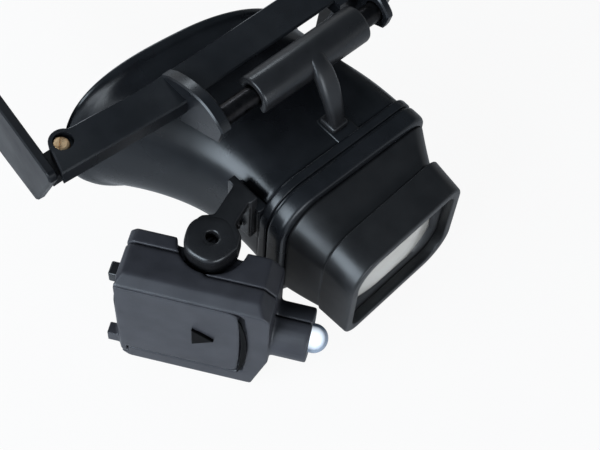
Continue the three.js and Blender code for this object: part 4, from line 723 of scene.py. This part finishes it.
arm_pad = soft_block("arm_pad", (-28.55, -23.45), (18.85, 25.2), (-14.0, -12.2), 0.3)
bracket_boss = soft_block("bracket_boss", (-47.9, -45.7), (17.8, 25.2), (-25.4, -15.8), 0.3)
dressed(joined(eyecup, arm_pad, bracket_boss), "eyecup_housing")

# %% [markdown]
# ## Clip and curved arm
# The clip is a C-shaped sleeve that snaps over the rod and slides along it. A curved horn grows from
# its top, bends over the front and ends in a foot on the eyecup. The sleeve is a skin of C sections
# along the rod. The horn is a skin of soft sections along a curve, wide in the middle and slim at
# its ends.

# %% Sleeve
CLIP_FROM, CLIP_TO = -39.3, -13.8
CLIP_BORE, CLIP_RADIUS = 2.2, 3.75
MOUTH_FROM, MOUTH_TO = math.radians(-44), math.radians(184)
SLEEVE_STEPS = 44


def sleeve_ring(x, inset):
    """The C section round the rod's axis at x, less an inset all round."""
    points = []
    for radius, way in ((CLIP_RADIUS - inset, 1), (CLIP_BORE + inset, -1)):
        slack = inset / radius
        for step in range(SLEEVE_STEPS + 1):
            share = step / SLEEVE_STEPS if way > 0 else 1 - step / SLEEVE_STEPS
            angle = MOUTH_FROM + slack + (MOUTH_TO - MOUTH_FROM - 2 * slack) * share
            points.append((x, ROD_FORWARD + radius * math.cos(angle), ROD_UP + radius * math.sin(angle)))
    return points


# Each place along the rod has its inset there, which rounds the two ends.
sleeve_places = [(CLIP_FROM, 0.45), (CLIP_FROM + 0.06, 0.22), (CLIP_FROM + 0.22, 0.06), (CLIP_FROM + 0.5, 0),
                 (CLIP_TO - 0.7, 0), (CLIP_TO - 0.3, 0.12), (CLIP_TO - 0.08, 0.4), (CLIP_TO, 0.65)]
sleeve = skinned("clip_sleeve", [sleeve_ring(*place) for place in sleeve_places], wall=False)
print("sleeve length:", round(CLIP_TO - CLIP_FROM, 2))

# %% Horn
HORN_CENTRE, HORN_POINTS, HORN_STEPS, HORN_SQUARENESS = -26.35, 28, 26, 0.55
horn_path = [Vector((13.3, 1.6)), Vector((18.0, 1.3)), Vector((21.4, -7.6)), Vector((22.3, -12.6))]
horn_widths = [2.2, 3.2, 3.9, 4.1, 3.7, 3.2, 2.9]
horn_thicks = [1.8, 2.3, 2.3, 2.2, 2.1, 2.0, 2.0]


def along_list(values, share):
    """A smooth value between the entries of a list."""
    place = share * (len(values) - 1)
    index = min(int(place), len(values) - 2)
    t = place - index
    t = t * t * (3 - 2 * t)
    return values[index] * (1 - t) + values[index + 1] * t


def horn_ring(share):
    """The horn's section at a share of its path, square to the path."""
    a, b, c, d = horn_path
    t, u = share, 1 - share
    middle = a * u ** 3 + b * (3 * u * u * t) + c * (3 * u * t * t) + d * t ** 3
    way = ((b - a) * (u * u) + (c - b) * (2 * u * t) + (d - c) * (t * t)).normalized()
    across = Vector((-way.y, way.x))
    half_width, half_thick = along_list(horn_widths, share) / 2, along_list(horn_thicks, share) / 2
    points = []
    for angle in turns(HORN_POINTS):
        side, level = (raised(value, HORN_SQUARENESS) for value in (math.cos(angle), math.sin(angle)))
        place = middle + across * half_thick * level
        points.append((HORN_CENTRE + half_width * side, place.x, place.y))
    return points


horn = skinned("clip_horn", [horn_ring(step / HORN_STEPS) for step in range(HORN_STEPS + 1)], wall=False)
foot = soft_block("horn_foot", (-28.2, -24.4), (19.3, 23.3), (-12.25, -10.9), 0.5)
dressed(joined(sleeve, horn, foot), "slider_clip")

# %% [markdown]
# ## Lamp shells and bracket
# The pod is two moulded shells with soft edges all over, which a bevel of one width can't give where
# small steps meet. Here each solid's copy is remeshed into small even faces, relaxed so that every
# edge softens, and thinned again. It is first turned square to the axes, so its flat faces stay flat.

# %% Relaxed copies
LAMP_X, LAMP_FORWARD, LAMP_TOP, LAMP_ANGLE = -58.9, 25.0, -15.0, math.radians(34.7)


def settle(piece):
    """Turns what a piece's modifiers make into its plain mesh."""
    bpy.context.view_layer.update()
    mesh = bpy.data.meshes.new_from_object(piece.evaluated_get(bpy.context.evaluated_depsgraph_get()))
    piece.modifiers.clear()
    piece.data = mesh


def relaxed(solid, voxel, rounds, keep, turn):
    """Replaces a solid by a finely remeshed copy with relaxed edges."""
    piece = merged_copy(solid, solid + "_soft")
    middle = at(LAMP_X, LAMP_FORWARD, LAMP_TOP)
    turning = Matrix.Translation(middle) @ Matrix.Rotation(-turn, 4, "Z") @ Matrix.Translation(-middle)
    piece.data.transform(turning)
    even = piece.modifiers.new("even", "REMESH")
    even.mode, even.voxel_size = "VOXEL", voxel * mm
    soft = piece.modifiers.new("soft", "SMOOTH")
    soft.factor, soft.iterations = 0.5, rounds
    thin = piece.modifiers.new("thin", "DECIMATE")
    thin.ratio = keep
    settle(piece)
    piece.data.transform(turning.inverted())
    shaded(piece)
    dressed(piece, solid)


# Each solid has its voxel size, rounds of smoothing, share of faces kept and turn.
softening = {
    "lamp_outer_shell": (0.22, 14, 0.4, LAMP_ANGLE), "lamp_inner_shell": (0.25, 16, 0.4, LAMP_ANGLE),
    "battery_door": (0.2, 3, 0.4, LAMP_ANGLE), "lamp_bracket": (0.16, 22, 0.5, 0.0),
}
for solid, settings in softening.items():
    relaxed(solid, *settings)

# %% [markdown]
# ## Places in the lamp
# The lamp hangs turned on its pivot, so its own directions are along the light, across to the outer
# side and down. One helper turns such a place into the drawing's x, forward and up.

# %% Lamp directions
def in_lamp(along, across, drop):
    """A place of the lamp, given along the light, across to the outer side and down."""
    c, s = math.cos(LAMP_ANGLE), math.sin(LAMP_ANGLE)
    return (LAMP_X - across * c + along * s, LAMP_FORWARD + across * s + along * c, LAMP_TOP - drop)


print("lamp turned by:", round(math.degrees(LAMP_ANGLE), 1))

# %% [markdown]
# ## Door arrow
# The battery door has a sunk triangle that shows which way it slides. In the photo it is solid
# black, so a black plate fills the recess. Its top edge is eased.

# %% Door arrow
DOOR_FACE = 12.0
ARROW_DROP, ARROW_HALF, ARROW_FROM, ARROW_TO = 13.65, 2.8, -0.5, 3.5
arrow_sections = []
for across, ease in [(DOOR_FACE - 0.5, 0), (DOOR_FACE + 0.02, 0), (DOOR_FACE + 0.08, 0.12)]:
    base, tip, half = ARROW_FROM + ease, ARROW_TO - 2 * ease, ARROW_HALF - 2 * ease
    arrow_sections.append([in_lamp(along, across, ARROW_DROP + down)
                           for along, down in ((base, -half), (tip, 0), (base, half))])
arrow = skinned("door_arrow", arrow_sections, wall=False)
shaded(arrow, smooth=False)
# This black serves both the door's arrow and the painted shade of the gap at the door's end.
arrow_and_gap_shade_look = moulded_plastic("arrow_and_gap_shade_black", (0.0012, 0.0012, 0.0014), 0.5, 0.05, 0.3, 0.006, shine=0.05)
arrow.data.materials.append(arrow_and_gap_shade_look)
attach(arrow, "battery_door")
print("arrow faces:", len(arrow.data.polygons))

# %% [markdown]
# ## Painted shade in the gap at the door's end
# In the photo the door ends in a bow with a wide dark gap before it. A thin black crescent on the outer
# shell is painted shade for that gap: it is a black plate laid on the shell, not a cut into it. It is
# slightly proud of the shell, so that it shows.

# %% Painted gap shade at the door's end
GAP_SHADE_FROM, GAP_SHADE_TO, GAP_SHADE_START, GAP_SHADE_STEPS = 2.9, 24.4, 7.9, 24
GAP_SHADE_NEAR, GAP_SHADE_FAR, GAP_SHADE_BOW, GAP_SHADE_PROUD = (0.0, 0.75), (0.02, 1.75), 0.7, 0.07


def gap_shade_side(start, reach):
    """One bowed edge of the crescent as (along, drop)."""
    shares = [step / GAP_SHADE_STEPS for step in range(GAP_SHADE_STEPS + 1)]
    return [(GAP_SHADE_START + start + reach * math.sin(math.pi * share) ** GAP_SHADE_BOW,
             GAP_SHADE_FROM + (GAP_SHADE_TO - GAP_SHADE_FROM) * share) for share in shares]


gap_shade_edge = gap_shade_side(*GAP_SHADE_NEAR) + gap_shade_side(*GAP_SHADE_FAR)[::-1]
gap_shade_rings = [[in_lamp(along, across, drop) for along, drop in gap_shade_edge]
               for across in (DOOR_FACE - 0.3, DOOR_FACE + GAP_SHADE_PROUD)]
# A black plate proud of the shell: painted shade standing for the dark gap at the door's end.
gap_shade_plate = skinned("door_gap_painted_shade", gap_shade_rings, wall=False)
shaded(gap_shade_plate, smooth=False)
gap_shade_plate.data.materials.append(arrow_and_gap_shade_look)
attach(gap_shade_plate, "lamp")
print("notch faces:", len(gap_shade_plate.data.polygons))

# %% [markdown]
# ## Knuckle
# The lamp turns under a thick round knuckle that is drawn a little to five sides. Its edge is well
# rounded and the pivot screw sits deep in a hole in its top.

# %% Knuckle
KNUCKLE_RADIUS, KNUCKLE_SIDES, KNUCKLE_DRAW, KNUCKLE_POINTS = 4.78, 5, 0.024, 80
knuckle_profile = [(4.3, -17.4), (4.7, -17.2), (KNUCKLE_RADIUS, -16.9), (KNUCKLE_RADIUS, -13.5),
                   (4.72, -13.15), (4.55, -12.85), (4.28, -12.64), (3.9, -12.54), (1.7, -12.54),
                   (1.42, -12.62), (1.3, -12.9), (1.3, -17.4)]


def knuckle_ring(radius, up):
    """A circle round the pivot, drawn out to the knuckle's sides towards its rim."""
    draw = KNUCKLE_DRAW * radius / KNUCKLE_RADIUS
    ring = []
    for angle in turns(KNUCKLE_POINTS):
        reach = radius * (1 + draw * math.cos(KNUCKLE_SIDES * (angle - math.pi / 2)))
        ring.append((LAMP_X + reach * math.cos(angle), LAMP_FORWARD - reach * math.sin(angle), up))
    return ring


knuckle = skinned("knuckle_round", [knuckle_ring(*place) for place in knuckle_profile])
knuckle.data.materials.append(looks[slot_of["lamp_bracket"]])
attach(knuckle, body_of["lamp_bracket"])
print("knuckle faces:", len(knuckle.data.polygons))

# %% [markdown]
# ## Diode
# The diode is one clear resin body: a flange inside the lamp, a barrel through the light tube and a
# round dome in front. It is a turned shape, so its sections are circles along the light.

# %% Diode
DIODE_ACROSS, DIODE_DROP, DIODE_RADIUS, DIODE_TIP = 6.6, 13.9, 2.72, 23.5
FLANGE_RADIUS, DIODE_POINTS, DOME_STEPS, CLOSED = 2.9, 40, 14, 0.02
diode_profile = [(13.45, CLOSED), (13.45, FLANGE_RADIUS), (14.3, FLANGE_RADIUS), (14.4, DIODE_RADIUS),
                 (19.6, DIODE_RADIUS)]
for step in range(1, DOME_STEPS + 1):
    angle = math.pi / 2 * step / DOME_STEPS
    diode_profile.append((DIODE_TIP - DIODE_RADIUS + DIODE_RADIUS * math.sin(angle),
                          max(CLOSED, DIODE_RADIUS * math.cos(angle))))


def lamp_circle(along, radius):
    """A circle round the light's axis."""
    return [in_lamp(along, DIODE_ACROSS + radius * math.cos(angle), DIODE_DROP + radius * math.sin(angle))
            for angle in turns(DIODE_POINTS)]


diode = skinned("diode_dome", [lamp_circle(*place) for place in diode_profile], wall=False)
dressed(diode, "led")

# %% [markdown]
# ## Screws
# Every screw is the same idea at its own size: a domed head with one slot or two, and a ribbed
# shank. Such repeats are what Geometry Nodes are for. The tree below takes a mesh whose points are
# the seats of the heads and whose `axis` attribute says which way each head looks. It makes one
# screw from named sizes, puts it on every point and turns it along its axis.

# %% Screw tree
BARREL_SIDES, HEAD_ROWS, SHANK_ROWS = 32, 8, 40
HEAD_DOME, DOME_POWER, RIB_DEPTH, RIB_PITCH = 0.3, 4.0, 0.05, 0.45
screws_tree = bpy.data.node_groups.new("slotted_screws", "GeometryNodeTree")
socket_types = {"Seats": "Geometry", "Head Radius": "Float", "Head Height": "Float", "Shank Radius": "Float",
                "Shank Length": "Float", "Slot Width": "Float", "Slot Depth": "Float", "Turn": "Float",
                "Cross": "Bool", "Finish": "Material"}
for name, kind in socket_types.items():
    screws_tree.interface.new_socket(name, in_out="INPUT", socket_type="NodeSocket" + kind)
screws_tree.interface.new_socket("Screws", in_out="OUTPUT", socket_type="NodeSocketGeometry")
sizes = node(screws_tree, "NodeGroupInput").outputs


def geometry(kind, inputs, **settings):
    """The first output of a node of the screw tree."""
    return node(screws_tree, kind, inputs, **settings).outputs[0]


def vector(x, y, z):
    """A vector of three values or node outputs."""
    return geometry("ShaderNodeCombineXYZ", {"X": x, "Y": y, "Z": z})


def sum_of(operation, first, second=0.0):
    """One sum in the screw tree."""
    return maths(screws_tree, operation, first, second)


print("screw sizes:", len(socket_types))

# %% [markdown]
# A head and a shank are both barrels along the axis. The head stands on its seat and narrows towards
# its top by a power of the height, which gives the dome. The shank hangs below the seat, and a sine
# of the height gives its ribs.

# %% Head and shank
def barrel(radius, length, rows, lift):
    """A cylinder with rows along its side, moved along the axis by a share of its length."""
    tube = geometry("GeometryNodeMeshCylinder", {"Vertices": BARREL_SIDES, "Side Segments": rows,
                                                 "Radius": radius, "Depth": length})
    place = vector(0, 0, sum_of("MULTIPLY", length, lift))
    return geometry("GeometryNodeTransform", {"Geometry": tube, "Translation": place})


def widened(mesh, factor_of_height):
    """Scales a barrel across its axis by a factor that depends on the height."""
    here = geometry("GeometryNodeInputPosition", {})
    parts = node(screws_tree, "ShaderNodeSeparateXYZ", {0: here}).outputs
    factor = factor_of_height(parts["Z"])
    place = vector(*(sum_of("MULTIPLY", parts[way], factor) for way in "XY"), parts["Z"])
    return geometry("GeometryNodeSetPosition", {"Geometry": mesh, "Position": place})


def domed(z):
    """The head's width at a height, as a share."""
    rise = sum_of("POWER", sum_of("DIVIDE", z, sizes["Head Height"]), DOME_POWER)
    return sum_of("SUBTRACT", 1.0, sum_of("MULTIPLY", HEAD_DOME, rise))


def ribbed(z):
    """The shank's width at a height, as a share."""
    wave = sum_of("SINE", sum_of("MULTIPLY", z, 2 * math.pi / (RIB_PITCH * mm)))
    return sum_of("ADD", 1 - RIB_DEPTH, sum_of("MULTIPLY", RIB_DEPTH, wave))


head = widened(barrel(sizes["Head Radius"], sizes["Head Height"], HEAD_ROWS, 0.5), domed)
shank = widened(barrel(sizes["Shank Radius"], sizes["Shank Length"], SHANK_ROWS, -0.5), ribbed)
print("nodes for head and shank:", len(screws_tree.nodes))

# %% [markdown]
# One slot or a cross of two is cut from the head. The whole screw is then turned about its axis, put
# on every seat and aimed along the seat's axis.

# %% Slots and seats
def slot_box(long_x, long_y):
    """A box that cuts one slot into the head's top."""
    size = vector(long_x, long_y, sum_of("MULTIPLY", sizes["Slot Depth"], 2.0))
    box = geometry("GeometryNodeMeshCube", {"Size": size})
    top = vector(0, 0, sizes["Head Height"])
    return geometry("GeometryNodeTransform", {"Geometry": box, "Translation": top})


reach = sum_of("MULTIPLY", sizes["Head Radius"], 3.0)
cut = {"Mesh 1": head, "Mesh 2": slot_box(reach, sizes["Slot Width"])}
slotted = node(screws_tree, "GeometryNodeMeshBoolean", cut, operation="DIFFERENCE", solver="EXACT")
crossing = {"Switch": sizes["Cross"], "True": slot_box(sizes["Slot Width"], reach)}
second_slot = geometry("GeometryNodeSwitch", crossing, input_type="GEOMETRY")
screws_tree.links.new(second_slot, slotted.inputs["Mesh 2"])
whole = node(screws_tree, "GeometryNodeJoinGeometry", {"Geometry": shank})
screws_tree.links.new(slotted.outputs["Mesh"], whole.inputs["Geometry"])
turn = vector(0, 0, sizes["Turn"])
spun = geometry("GeometryNodeTransform", {"Geometry": whole.outputs[0], "Rotation": turn})
axis = geometry("GeometryNodeInputNamedAttribute", {"Name": "axis"}, data_type="FLOAT_VECTOR")
aimed = geometry("FunctionNodeAlignRotationToVector", {"Vector": axis}, axis="Z")
placing = {"Points": sizes["Seats"], "Instance": spun, "Rotation": aimed}
placed = geometry("GeometryNodeInstanceOnPoints", placing)
real = geometry("GeometryNodeRealizeInstances", {"Geometry": placed})
finished = geometry("GeometryNodeSetMaterial", {"Geometry": real, "Material": sizes["Finish"]})
node(screws_tree, "NodeGroupOutput", {"Screws": finished})
print("screw tree nodes:", len(screws_tree.nodes))


# %% Set the screws
def screw_set(name, nodes, seats, axis, head, height, shank, length, slot, depth, turn=0.0, cross=False):
    """Makes like screws at their seats with the tree and puts them in their solids' place."""
    mesh = bpy.data.meshes.new(name)
    mesh.from_pydata([at(*seat) for seat in seats], [], [])
    x, forward, up = axis
    for value in mesh.attributes.new("axis", "FLOAT_VECTOR", "POINT").data:
        value.vector = (x, -forward, up)
    piece = added(name, mesh)
    modifier = piece.modifiers.new("screws", "NODES")
    modifier.node_group = screws_tree
    values = {"Head Radius": head * mm, "Head Height": height * mm, "Shank Radius": shank * mm,
              "Shank Length": length * mm, "Slot Width": slot * mm, "Slot Depth": depth * mm, "Turn": turn,
              "Cross": cross, "Finish": looks[slot_of[nodes[0]]]}
    for socket in screws_tree.interface.items_tree:
        if socket.in_out == "INPUT" and socket.name in values:
            modifier[socket.identifier] = values[socket.name]
    settle(piece)
    dressed(piece, *nodes[:1], extra=nodes[1:])


UPWARD, DOWNWARD, OUTWARD = (0, 0, 1), (0, 0, -1), (-1, 0, 0)
INWARD_IN_LAMP = (math.cos(LAMP_ANGLE), -math.sin(LAMP_ANGLE), 0)
SMALL_HEAD, SMALL_SHANK = 1.33, 0.68
screw_set("hinge_screws", ["hinge_screw_left", "hinge_screw_right"], [(70.9, 0.2, -1.0), (-70.9, 0.2, -1.0)],
          UPWARD, 1.62, 0.9, 0.88, 6.7, 0.45, 0.45, turn=0.9)
screw_set("bridge_screws", ["bridge_screw_1", "bridge_screw_2"], [(-2.1, 3.5, -5.8), (2.1, 3.5, -5.8)],
          DOWNWARD, SMALL_HEAD, 0.7, SMALL_SHANK, 4.6, 0.4, 0.3, cross=True)
screw_set("arm_screw_set", ["arm_screw"], [(-26, 21.2, -14.5)],
          DOWNWARD, SMALL_HEAD, 0.4, SMALL_SHANK, 4.2, 0.4, 0.25, cross=True)
screw_set("bracket_screws", ["bracket_screw_1", "bracket_screw_2"],
          [(-49.6, 21, -25.4 + 12.8 * share) for share in (0.18, 0.52)],
          OUTWARD, SMALL_HEAD, 0.7, SMALL_SHANK, 3.4, 0.4, 0.3, turn=0.5, cross=True)
screw_set("pivot_screw_set", ["pivot_screw"], [(LAMP_X, LAMP_FORWARD, -15.1)],
          UPWARD, 1.13, 1.1, 0.73, 7.4, 0.45, 0.4)
for number, along, length in ((1, -12.2, 4.6), (2, 7.6, 7.8)):
    screw_set(f"shell_screw_set_{number}", [f"shell_screw_{number}"], [in_lamp(along, 1.4, 26.7)],
              INWARD_IN_LAMP, SMALL_HEAD, 0.7, SMALL_SHANK, length, 0.4, 0.3, cross=True)
